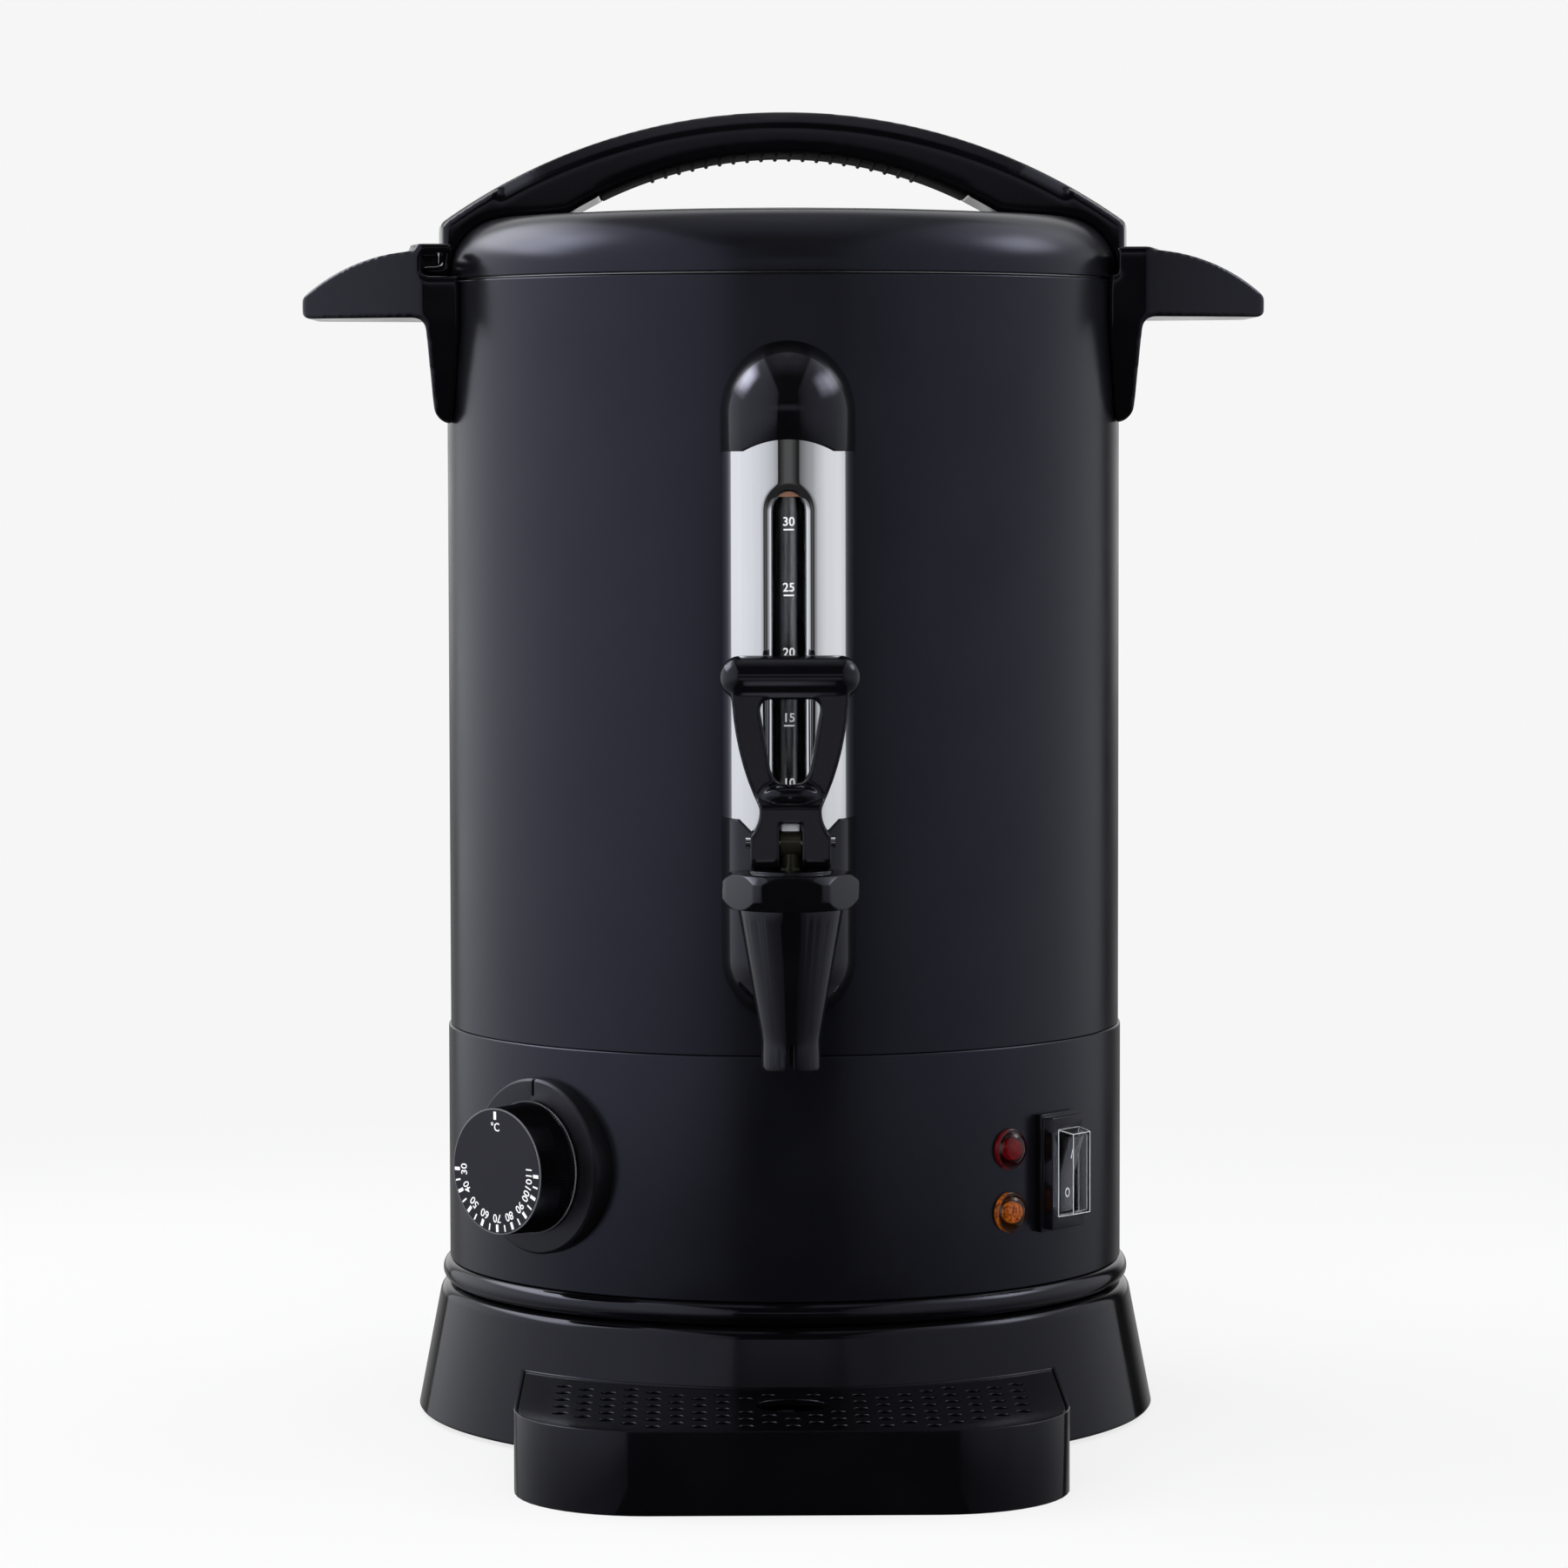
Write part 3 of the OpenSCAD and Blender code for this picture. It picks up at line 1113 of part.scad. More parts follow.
// Outline of the tray in plan, moved inwards by i
module tray_plan(i) {
    x = tray_w / 2 - i;
    y = tray_front + i;
    r = tray_corner - i;
    polygon(concat([[x, -body_r + 60]], arc([x - r, y + r], r, 0, -90, 12), arc([-x + r, y + r], r, -90, -180, 12),
        [[-x, -body_r + 60]]));
}

// Cone of the skirt's outside, moved outwards by i
module skirt_solid(i) translate([0, 0, skirt_lift - 10])
    cylinder(r1 = skirt_r(skirt_lift - 10) + i, r2 = skirt_r(skirt_lift + 50) + i, h = 60, $fn = 180);

// Space inside the tray, wall i thick, from z0 up
module tray_space(i, z0) difference() {
    translate([0, 0, z0]) linear_extrude(tray_h) tray_plan(i);
    skirt_solid(tray_back_gap + i);
}

module drip_tray() color(gloss) difference() {
    linear_extrude(tray_h) tray_plan(0);
    skirt_solid(tray_back_gap);
    tray_space(tray_t, tray_t);
    tray_space(tray_t - tray_ledge, tray_ledge_z);
}

// True where a grate hole keeps its distance from the border and from the drain hole
function hole_fits(p) = let (
    b = tray_t + grate_border + hole_r,
    c = [tray_w / 2 - tray_corner, tray_front + tray_corner],
    q = [abs(p.x), p.y])
    abs(p.x) < tray_w / 2 - b && p.y > tray_front + b && norm(p) > skirt_r(grate_z) + b
    && norm(p - [0, tap_y]) > drain_r + hole_r + 2.5
    && !(q.x > c.x && q.y < c.y && norm(q - c) > tray_corner - b);

module drip_grate() color(gloss) difference() {
    intersection() {
        tray_space(tray_t - tray_ledge + run_gap, grate_z);
        translate([-200, -300, grate_z]) cube([400, 400, grate_t]);
    }
    for (i = [-14:14], j = [-6:6]) let (p = [i * hole_pitch_x, tap_y + (j + (i % 2 == 0 ? 0 : 0.5)) * hole_pitch_y])
        if (hole_fits(p)) translate([p.x, p.y, grate_z - 1]) cylinder(r = hole_r, h = grate_t + 2, $fn = 24);
    translate([0, tap_y, grate_z - 1]) cylinder(r = drain_r, h = grate_t + 2);
}

base_plate();
feet();
base_screws();
base_skirt();
bead_ring();
control_housing();
body_screws();
cord_gland();
terminal_block();
heat_shield();
heating_element();
thermal_cutout();
outer_jacket();
vessel();
thermostat();
knob_bezel();
knob_shaft();
knob();
lamp_red();
lamp_amber();
switch_frame();
switch_body();
switch_rocker();
switch_cover();
shank_tee();
shank_washers();
shank_nut();
gauge_cover();
gauge_cap();
gauge_shield();
gauge_tube();
gauge_seals();
gauge_screws();
tap_body();
tap_bonnet();
tap_stem();
tap_seat();
tap_pin();
tap_lever();
side_handle_left();
side_handle_right();
handle_screws();
lid_seal();
lid_pan();
lid_handle();
lid_handle_grip();
lid_screws();
drip_tray();
drip_grate();
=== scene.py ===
import json
import math
import bpy
from mathutils import Matrix, Vector

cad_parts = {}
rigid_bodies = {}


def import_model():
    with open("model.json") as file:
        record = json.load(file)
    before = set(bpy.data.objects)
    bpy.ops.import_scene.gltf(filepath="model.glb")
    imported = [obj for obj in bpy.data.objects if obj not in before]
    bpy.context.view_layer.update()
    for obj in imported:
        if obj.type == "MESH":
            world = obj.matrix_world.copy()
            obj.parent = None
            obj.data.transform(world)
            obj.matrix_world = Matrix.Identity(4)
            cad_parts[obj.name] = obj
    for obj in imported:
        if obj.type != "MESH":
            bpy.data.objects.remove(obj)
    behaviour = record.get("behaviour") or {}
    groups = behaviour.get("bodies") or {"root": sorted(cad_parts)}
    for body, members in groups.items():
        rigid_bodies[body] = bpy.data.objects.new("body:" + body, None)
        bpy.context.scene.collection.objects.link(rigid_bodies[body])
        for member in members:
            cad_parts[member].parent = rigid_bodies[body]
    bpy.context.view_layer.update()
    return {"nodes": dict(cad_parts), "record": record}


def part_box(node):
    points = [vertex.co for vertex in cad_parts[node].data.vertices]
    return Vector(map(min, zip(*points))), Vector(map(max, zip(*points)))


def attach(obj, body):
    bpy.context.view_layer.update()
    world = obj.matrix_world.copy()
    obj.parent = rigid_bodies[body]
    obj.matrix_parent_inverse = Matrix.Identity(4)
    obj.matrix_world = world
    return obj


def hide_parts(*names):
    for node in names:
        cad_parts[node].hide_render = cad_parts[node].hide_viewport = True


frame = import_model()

nodes = frame["nodes"]
scene = bpy.context.scene
mm = 0.001
bodyOf = {n: b for b, group in frame["record"]["behaviour"]["bodies"].items() for n in group}
slotOf = {p["node"]: p["material_slot"] for p in frame["record"]["subparts"]}
print("frame loaded:", len(nodes), "nodes")


# helpers for selecting and finishing

def deselect():
    if bpy.context.object and bpy.context.object.mode != "OBJECT":
        bpy.ops.object.mode_set(mode="OBJECT")
    bpy.ops.object.select_all(action="DESELECT")


def activate(piece):
    deselect()
    piece.select_set(True)
    bpy.context.view_layer.objects.active = piece


def smooth(piece, angle):
    activate(piece)
    bpy.ops.object.shade_smooth_by_angle(angle=math.radians(angle))


def applyModifier(piece, modifier):
    activate(piece)
    bpy.ops.object.modifier_apply(modifier=modifier.name)


def cleanMesh(piece):
    activate(piece)
    bpy.ops.object.mode_set(mode="EDIT")
    bpy.ops.mesh.select_all(action="SELECT")
    bpy.ops.mesh.remove_doubles(threshold=1e-6)
    bpy.ops.mesh.normals_make_consistent(inside=False)
    bpy.ops.object.mode_set(mode="OBJECT")


def roundEdges(piece, width, segments, angle=32):
    edge = piece.modifiers.new("edge", "BEVEL")
    edge.width = width * mm
    edge.segments = segments
    edge.limit_method = "ANGLE"
    edge.angle_limit = math.radians(angle)
    edge.use_clamp_overlap = True
    edge.miter_outer = "MITER_ARC"
    applyModifier(piece, edge)


def dress(piece, name, body, slot, material, *stands):
    piece.name = name
    piece.data.name = name
    piece.data.materials.clear()
    piece.data.materials.append(material)
    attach(piece, body)
    if stands:
        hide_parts(*stands)
    return piece


def joinPieces(group):
    deselect()
    for piece in group:
        piece.select_set(True)
    bpy.context.view_layer.objects.active = group[0]
    bpy.ops.object.join()
    return group[0]


def arcPoints(centre, radius, start, end, steps):
    turn = [math.radians(start + (end - start) * i / steps) for i in range(steps + 1)]
    return [(centre[0] + radius * math.cos(a), centre[1] + radius * math.sin(a)) for a in turn]


def placed(piece, place):
    piece.data.transform(place)
    return piece


def wallFrame(azimuth, height, out=0):  # x to the right, y up, z outwards from the urn's axis
    turn = Matrix.Rotation(math.radians(azimuth), 4, "Z") @ Matrix.Translation((0, 0, height * mm))
    return turn @ Matrix.Rotation(math.radians(90), 4, "X") @ Matrix.Translation((0, 0, out * mm))


def lathe(profile, steps=192):  # radius and height, closed or ending on the axis, spun round the urn's axis
    deselect()
    bpy.ops.mesh.primitive_plane_add(size=0.01, location=(0, 0, 0))
    piece = bpy.context.object
    bpy.ops.object.mode_set(mode="EDIT")
    bpy.ops.mesh.select_mode(type="VERT")
    bpy.ops.mesh.select_all(action="SELECT")
    bpy.ops.mesh.merge(type="CENTER")
    last = Vector((0, 0, 0))
    for i, (radius, height) in enumerate(profile):
        here = Vector((radius * mm, 0, height * mm))
        if i == 0:
            bpy.ops.transform.translate(value=here - last)
        else:
            bpy.ops.mesh.extrude_vertices_move(TRANSFORM_OT_translate={"value": here - last})
        last = here
    bpy.ops.mesh.select_all(action="SELECT")
    bpy.ops.mesh.spin(steps=steps, angle=2 * math.pi, center=(0, 0, 0), axis=(0, 0, 1))
    bpy.ops.object.mode_set(mode="OBJECT")
    cleanMesh(piece)
    smooth(piece, 35)
    return piece


def pinCentre():  # middle of the pin that the tap's lever turns on
    low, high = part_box("tap_pin")
    return (Vector(low) + Vector(high)) / 2


def copyNode(node):  # own copy of a node's mesh, merged so that it can be shaped
    deselect()
    piece = nodes[node].copy()
    piece.data = nodes[node].data.copy()
    scene.collection.objects.link(piece)
    for key in list(piece.keys()):
        del piece[key]
    activate(piece)
    bpy.ops.mesh.customdata_custom_splitnormals_clear()
    bpy.ops.object.mode_set(mode="EDIT")
    bpy.ops.mesh.select_all(action="SELECT")
    bpy.ops.mesh.remove_doubles(threshold=1e-6)
    bpy.ops.mesh.dissolve_limited(angle_limit=math.radians(0.5))
    bpy.ops.object.mode_set(mode="OBJECT")
    return piece


# camera and studio

cameraValues = {"orbit": -0.75, "distance": 1849.3, "height": 327.3, "tilt": 3.62, "roll": -0.127,
                "lens": 126.2, "sensor": 36, "reach": 50}


def placeCamera(v):
    camera = bpy.data.objects.new("photoCamera", bpy.data.cameras.new("photoCamera"))
    scene.collection.objects.link(camera)
    turn = math.radians(v["orbit"])
    camera.data.lens = v["lens"]
    camera.data.sensor_width = v["sensor"]
    camera.data.clip_end = v["reach"]
    away = v["distance"] * mm
    camera.location = (away * math.sin(turn), -away * math.cos(turn), v["height"] * mm)
    camera.rotation_euler = (math.radians(90 - v["tilt"]), 0, turn)
    camera.rotation_euler.rotate_axis("Z", math.radians(v["roll"]))
    scene.camera = camera


upwards = ((0.15, 0.3), (0.22, 0.48), (0.29, 0.8), (0.36, 1.0), (1.0, 0.9))
softly = ((0.0, 0.0), (0.35, 1.0), (0.65, 1.0), (1.0, 0.0))
panelTone = (0.94, 0.955, 1.0)
cardTone = (0.95, 0.96, 1.0)
plainTone = (1.0, 1.0, 1.0)
lampValues = {
    "leftPanel": {"at": (-1.0, -0.8, 0.7), "aim": (0, -0.8, 0.7), "size": (4.8, 3.2), "glow": 1.0,
                  "along": ((0.0, 0.7), (0.21, 0.95), (0.33, 0.98), (0.54, 0.78), (1.0, 0.34)),
                  "up": upwards, "tone": panelTone},
    "rightPanel": {"at": (1.0, -1.0, 0.7), "aim": (0, -1.0, 0.7), "size": (4.0, 3.2), "glow": 1.0,
                   "along": ((0.0, 0.1), (0.25, 0.26), (0.5, 0.43), (0.75, 0.54), (0.85, 0.55), (1.0, 0.45)),
                   "up": upwards, "tone": panelTone},
    "leftRim": {"at": (-1.04, 0.4, 1.2), "aim": (0, 0, 0.38), "size": (1.7, 1.0), "glow": 5.0,
                "along": ((0.0, 0.3), (0.3, 0.62), (0.5, 0.75), (0.7, 1.0), (0.85, 0.6), (1.0, 0.1)),
                "up": ((0.0, 0.0), (0.2, 0.9), (0.6, 1.0), (1.0, 0.0)), "tone": cardTone},
    "rightRim": {"at": (1.08, 0.35, 1.35), "aim": (0, 0, 0.38), "size": (1.9, 1.1), "glow": 1.0,
                 "along": ((0.0, 0.2), (0.3, 0.72), (0.6, 0.7), (1.0, 0.75)), "tone": cardTone},
    "topCard": {"at": (0, 0, 2.0), "aim": (0, 0, 0.2), "size": (2.4, 2.4), "glow": 0.33, "tone": cardTone},
    "rightSpot": {"at": (1.1, 0.1, 1.03), "aim": (0, -0.13, 0.35), "size": (0.75, 0.6), "glow": 3.2,
                  "tone": cardTone},
    "shieldCard": {"at": (0.97, -0.2, 0.3), "aim": (0, -0.2, 0.3), "size": (1.9, 0.8), "glow": 0.33,
                   "tone": plainTone, "only": "gaugeShield"},
    "slotCard": {"at": (0, -2.0, 0.3), "aim": (0, 0, 0.3), "size": (1.0, 1.4), "glow": 0.075,
                 "tone": plainTone, "only": "gaugeShield"},
    "tubeCard": {"at": (0.8, -1.4, 0.3), "aim": (0, -0.12, 0.3), "size": (1.5, 1.4), "glow": 3.0,
                 "tone": panelTone, "only": "sightTube"},
    "leverCard": {"at": (0, -1.6, 0.1), "aim": (0, 0, 0.1), "size": (1.4, 0.5), "glow": 0.38,
                  "tone": plainTone, "only": "tapLever"},
    "tableCard": {"at": (0, -0.56, 0.02), "aim": (0, -0.15, 0.29), "size": (0.06, 0.3), "glow": 0.85,
                  "tone": plainTone, "only": "tapLever"},
    "capLeft": {"at": (-1.03, 0, 1.13), "aim": (0, -0.12, 0.35), "size": (0.9, 0.7), "glow": 8.0,
                "tone": cardTone, "only": "gaugeCap"},
    "capRight": {"at": (1.05, -0.33, 1.08), "aim": (0, -0.12, 0.35), "size": (0.9, 0.7), "glow": 3.5,
                 "tone": cardTone, "only": "gaugeCap"},
    "frontCard": {"at": (0, -2.1, 0.66), "aim": (0, 0, 0.43), "size": (2.4, 0.44), "glow": 0.36,
                  "tone": plainTone},
    "frontFill": {"at": (0, -2.2, 1.6), "aim": (0, 0, 0.2), "size": (2.0, 1.5), "glow": 3.0,
                  "tone": plainTone, "mirrored": False},
    "topFill": {"at": (0, 0.1, 2.2), "aim": (0, 0, 0.2), "size": (2.0, 2.0), "glow": 1.4,
                "tone": plainTone, "mirrored": False},
}


def setStops(ramp, stops):
    for i, (place, level) in enumerate(stops):
        stop = ramp.elements[i] if i < 2 else ramp.elements.new(place)
        stop.position = place
        stop.color = (level, level, level, 1)


def fadeLamp(light, along, up):  # levels across the panel's width and up its height
    light.use_nodes = True
    tree = light.node_tree
    place = tree.nodes.new("ShaderNodeNewGeometry")
    split = tree.nodes.new("ShaderNodeSeparateXYZ")
    level = tree.nodes.new("ShaderNodeMath")
    level.operation = "MULTIPLY"
    tree.links.new(place.outputs["Parametric"], split.inputs[0])
    for i, (axis, stops) in enumerate((("X", along), ("Y", up))):
        ramp = tree.nodes.new("ShaderNodeValToRGB")
        setStops(ramp.color_ramp, stops)
        tree.links.new(split.outputs[axis], ramp.inputs["Fac"])
        tree.links.new(ramp.outputs["Color"], level.inputs[i])
    tree.links.new(level.outputs[0], tree.nodes["Emission"].inputs["Strength"])


def hangLamps(values):
    for name, v in values.items():
        lamp = bpy.data.objects.new(name, bpy.data.lights.new(name, "AREA"))
        scene.collection.objects.link(lamp)
        lamp.data.shape = "RECTANGLE"
        lamp.data.size = v["size"][0]
        lamp.data.size_y = v["size"][1]
        lamp.data.energy = v["glow"] * math.pi * v["size"][0] * v["size"][1]
        lamp.data.color = v["tone"]
        lamp.location = v["at"]
        lamp.rotation_euler = (Vector(v["aim"]) - Vector(v["at"])).to_track_quat("-Z", "Y").to_euler()
        lamp.visible_camera = False
        lamp.visible_glossy = v.get("mirrored", True)
        if lamp.visible_glossy:
            fadeLamp(lamp.data, v.get("along", softly), v.get("up", softly))


def linkLamps(values):  # a lamp meant for one piece lights no other, and is linked once the piece is made
    for name, v in values.items():
        if "only" in v:
            lit = bpy.data.collections.new(name)
            lit.objects.link(bpy.data.objects[v["only"]])
            bpy.data.objects[name].light_linking.receiver_collection = lit


worldValues = {"white": 0.922, "sweep": 0.8, "dim": 0.02, "soft": 0.3, "behind": (0.84, 0.98),
               "heights": ((0.0, 0.3), (0.47, 0.3), (0.5, 1.0), (0.8, 1.0), (0.92, 0.15))}


def paintWorld(v):  # white to the camera; mirrored as a pale sweep behind the urn and a dim room round it
    world = bpy.data.worlds.new("studio")
    scene.world = world
    world.use_nodes = True
    tree = world.node_tree
    path = tree.nodes.new("ShaderNodeLightPath")
    coord = tree.nodes.new("ShaderNodeTexCoord")
    split = tree.nodes.new("ShaderNodeSeparateXYZ")
    behind = tree.nodes.new("ShaderNodeMapRange")
    behind.interpolation_type = "SMOOTHSTEP"
    behind.inputs["From Min"].default_value = v["behind"][0]
    behind.inputs["From Max"].default_value = v["behind"][1]
    level = tree.nodes.new("ShaderNodeVectorMath")
    level.operation = "MULTIPLY"
    level.inputs[1].default_value = (1, 1, 0)
    bearing = tree.nodes.new("ShaderNodeVectorMath")
    bearing.operation = "NORMALIZE"
    back = tree.nodes.new("ShaderNodeSeparateXYZ")
    height = tree.nodes.new("ShaderNodeMapRange")
    height.inputs["From Min"].default_value = -1
    bands = tree.nodes.new("ShaderNodeValToRGB")
    setStops(bands.color_ramp, v["heights"])
    sweep = tree.nodes.new("ShaderNodeMath")
    sweep.operation = "MULTIPLY"
    mirrored = tree.nodes.new("ShaderNodeMath")
    mirrored.operation = "MULTIPLY_ADD"
    mirrored.inputs[1].default_value = v["sweep"]
    mirrored.inputs[2].default_value = v["dim"]
    seen = tree.nodes.new("ShaderNodeMath")
    seen.operation = "MAXIMUM"
    base = tree.nodes.new("ShaderNodeMix")
    base.inputs["A"].default_value = v["soft"]
    total = tree.nodes.new("ShaderNodeMix")
    total.inputs["B"].default_value = v["white"]
    ground = tree.nodes["Background"]
    ground.inputs["Color"].default_value = (1, 1, 1, 1)
    tree.links.new(coord.outputs["Generated"], split.inputs[0])
    tree.links.new(coord.outputs["Generated"], level.inputs[0])
    tree.links.new(level.outputs[0], bearing.inputs[0])
    tree.links.new(bearing.outputs[0], back.inputs[0])
    tree.links.new(back.outputs["Y"], behind.inputs["Value"])
    tree.links.new(split.outputs["Z"], height.inputs["Value"])
    tree.links.new(height.outputs[0], bands.inputs["Fac"])
    tree.links.new(behind.outputs[0], sweep.inputs[0])
    tree.links.new(bands.outputs["Color"], sweep.inputs[1])
    tree.links.new(sweep.outputs[0], mirrored.inputs[0])
    tree.links.new(path.outputs["Is Glossy Ray"], seen.inputs[0])
    tree.links.new(path.outputs["Is Transmission Ray"], seen.inputs[1])
    tree.links.new(seen.outputs[0], base.inputs["Factor"])
    tree.links.new(mirrored.outputs[0], base.inputs["B"])
    tree.links.new(base.outputs["Result"], total.inputs["A"])
    tree.links.new(path.outputs["Is Camera Ray"], total.inputs["Factor"])
    tree.links.new(total.outputs["Result"], ground.inputs["Strength"])


floorValues = {"size": 14, "white": 0.922, "tone": (0.85, 0.85, 0.86, 1), "near": (0.42, 0.84),
               "far": (0.85, 1.0)}


def layFloor(v):  # white to the camera further out, with the urn's shadow near it
    deselect()
    bpy.ops.mesh.primitive_plane_add(size=v["size"], location=(0, 0, 0))
    floor = bpy.context.object
    floor.name = "paleFloor"
    floor.visible_glossy = False
    material = bpy.data.materials.new("paleFloor")
    material.use_nodes = True
    tree = material.node_tree
    shader = tree.nodes["Principled BSDF"]
    shader.inputs["Base Color"].default_value = v["tone"]
    shader.inputs["Roughness"].default_value = 1
    shader.inputs["Specular IOR Level"].default_value = 0
    bright = tree.nodes.new("ShaderNodeEmission")
    bright.inputs["Strength"].default_value = v["white"]
    path = tree.nodes.new("ShaderNodeLightPath")
    coord = tree.nodes.new("ShaderNodeTexCoord")
    reach = tree.nodes.new("ShaderNodeVectorMath")
    reach.operation = "LENGTH"
    shown = tree.nodes.new("ShaderNodeMapRange")
    shown.interpolation_type = "SMOOTHSTEP"
    shown.inputs["From Min"].default_value = v["near"][0]
    shown.inputs["To Min"].default_value = v["near"][1]
    shown.inputs["From Max"].default_value = v["far"][0]
    shown.inputs["To Max"].default_value = v["far"][1]
    share = tree.nodes.new("ShaderNodeMath")
    share.operation = "MULTIPLY"
    mix = tree.nodes.new("ShaderNodeMixShader")
    tree.links.new(coord.outputs["Object"], reach.inputs[0])
    tree.links.new(reach.outputs["Value"], shown.inputs["Value"])
    tree.links.new(path.outputs["Is Camera Ray"], share.inputs[0])
    tree.links.new(shown.outputs[0], share.inputs[1])
    tree.links.new(share.outputs[0], mix.inputs["Fac"])
    tree.links.new(shader.outputs[0], mix.inputs[1])
    tree.links.new(bright.outputs[0], mix.inputs[2])
    tree.links.new(mix.outputs[0], tree.nodes["Material Output"].inputs["Surface"])
    floor.data.materials.append(material)


scene.view_settings.view_transform = "Standard"
placeCamera(cameraValues)
hangLamps(lampValues)
paintWorld(worldValues)
layFloor(floorValues)
print("studio set")


# shared surface effects

def newGroup(name, inputs, outputs):
    group = bpy.data.node_groups.new(name, "ShaderNodeTree")
    for label, kind in inputs:
        group.interface.new_socket(label, in_out="INPUT", socket_type=kind)
    for label, kind in outputs:
        group.interface.new_socket(label, in_out="OUTPUT", socket_type=kind)
    return group, group.nodes.new("NodeGroupInput"), group.nodes.new("NodeGroupOutput")


def mixColours(tree):  # its share, its two colours and what it puts out
    tone = tree.nodes.new("ShaderNodeMix")
    tone.data_type = "RGBA"
    colours = [s for s in tone.inputs if s.type == "RGBA"]
    return tone.inputs[0], colours, [s for s in tone.outputs if s.type == "RGBA"][0]


grainValues = {"cloudDetail": 3, "fineDetail": 2, "toneRange": (0.35, 0.65), "fineShare": 0.3,
               "glossRange": (0.45, 0.85)}


def makeGrain(v):  # cloudy tone and gloss, and a fine height
    group, start, end = newGroup(
        "grain",
        [("Dark", "NodeSocketColor"), ("Pale", "NodeSocketColor"), ("Cloud", "NodeSocketFloat"),
         ("Fine", "NodeSocketFloat"), ("Rough Low", "NodeSocketFloat"), ("Rough High", "NodeSocketFloat")],
        [("Color", "NodeSocketColor"), ("Roughness", "NodeSocketFloat"), ("Height", "NodeSocketFloat")])
    coord = group.nodes.new("ShaderNodeTexCoord")
    cloud = group.nodes.new("ShaderNodeTexNoise")
    cloud.inputs["Detail"].default_value = v["cloudDetail"]
    fine = group.nodes.new("ShaderNodeTexNoise")
    fine.inputs["Detail"].default_value = v["fineDetail"]
    share = group.nodes.new("ShaderNodeMapRange")
    share.inputs["From Min"].default_value = v["toneRange"][0]
    share.inputs["From Max"].default_value = v["toneRange"][1]
    blend, colours, mixed = mixColours(group)
    both = group.nodes.new("ShaderNodeMath")
    both.operation = "MULTIPLY_ADD"
    both.inputs[1].default_value = v["fineShare"]
    gloss = group.nodes.new("ShaderNodeMapRange")
    gloss.inputs["From Min"].default_value = v["glossRange"][0]
    gloss.inputs["From Max"].default_value = v["glossRange"][1]
    group.links.new(coord.outputs["Object"], cloud.inputs["Vector"])
    group.links.new(coord.outputs["Object"], fine.inputs["Vector"])
    group.links.new(start.outputs["Cloud"], cloud.inputs["Scale"])
    group.links.new(start.outputs["Fine"], fine.inputs["Scale"])
    group.links.new(cloud.outputs["Fac"], share.inputs["Value"])
    group.links.new(share.outputs[0], blend)
    group.links.new(start.outputs["Dark"], colours[0])
    group.links.new(start.outputs["Pale"], colours[1])
    group.links.new(fine.outputs["Fac"], both.inputs[0])
    group.links.new(cloud.outputs["Fac"], both.inputs[2])
    group.links.new(both.outputs[0], gloss.inputs["Value"])
    group.links.new(start.outputs["Rough Low"], gloss.inputs["To Min"])
    group.links.new(start.outputs["Rough High"], gloss.inputs["To Max"])
    group.links.new(mixed, end.inputs["Color"])
    group.links.new(gloss.outputs[0], end.inputs["Roughness"])
    group.links.new(fine.outputs["Fac"], end.inputs["Height"])
    return group


lineValues = {"detail": 4, "roughness": 0.65, "glossRange": (0.3, 0.7)}


def makeDrawLines(v):  # fine lines left by drawing and polishing sheet metal
    group, start, end = newGroup(
        "drawLines",
        [("Across", "NodeSocketFloat"), ("Along", "NodeSocketFloat"), ("Rough Low", "NodeSocketFloat"),
         ("Rough High", "NodeSocketFloat")],
        [("Roughness", "NodeSocketFloat"), ("Height", "NodeSocketFloat"), ("Mask", "NodeSocketFloat")])
    coord = group.nodes.new("ShaderNodeTexCoord")
    scale = group.nodes.new("ShaderNodeCombineXYZ")
    stretch = group.nodes.new("ShaderNodeVectorMath")
    stretch.operation = "MULTIPLY"
    lines = group.nodes.new("ShaderNodeTexNoise")
    lines.inputs["Scale"].default_value = 1
    lines.inputs["Detail"].default_value = v["detail"]
    lines.inputs["Roughness"].default_value = v["roughness"]
    gloss = group.nodes.new("ShaderNodeMapRange")
    gloss.inputs["From Min"].default_value = v["glossRange"][0]
    gloss.inputs["From Max"].default_value = v["glossRange"][1]
    for axis, source in (("X", "Across"), ("Y", "Across"), ("Z", "Along")):
        group.links.new(start.outputs[source], scale.inputs[axis])
    group.links.new(coord.outputs["Object"], stretch.inputs[0])
    group.links.new(scale.outputs[0], stretch.inputs[1])
    group.links.new(stretch.outputs[0], lines.inputs["Vector"])
    group.links.new(lines.outputs["Fac"], gloss.inputs["Value"])
    group.links.new(start.outputs["Rough Low"], gloss.inputs["To Min"])
    group.links.new(start.outputs["Rough High"], gloss.inputs["To Max"])
    group.links.new(gloss.outputs[0], end.inputs["Roughness"])
    group.links.new(lines.outputs["Fac"], end.inputs["Height"])
    group.links.new(lines.outputs["Fac"], end.inputs["Mask"])
    return group


grain = makeGrain(grainValues)
drawLines = makeDrawLines(lineValues)
bevelSamples = 6


def newMaterial(name, sockets):
    material = bpy.data.materials.new(name)
    material.use_nodes = True
    shader = material.node_tree.nodes["Principled BSDF"]
    for label, value in sockets.items():
        shader.inputs[label].default_value = value
    return material, material.node_tree, shader


def addGroup(tree, group, values):
    node = tree.nodes.new("ShaderNodeGroup")
    node.node_tree = group
    for label, value in values.items():
        node.inputs[label].default_value = value
    return node


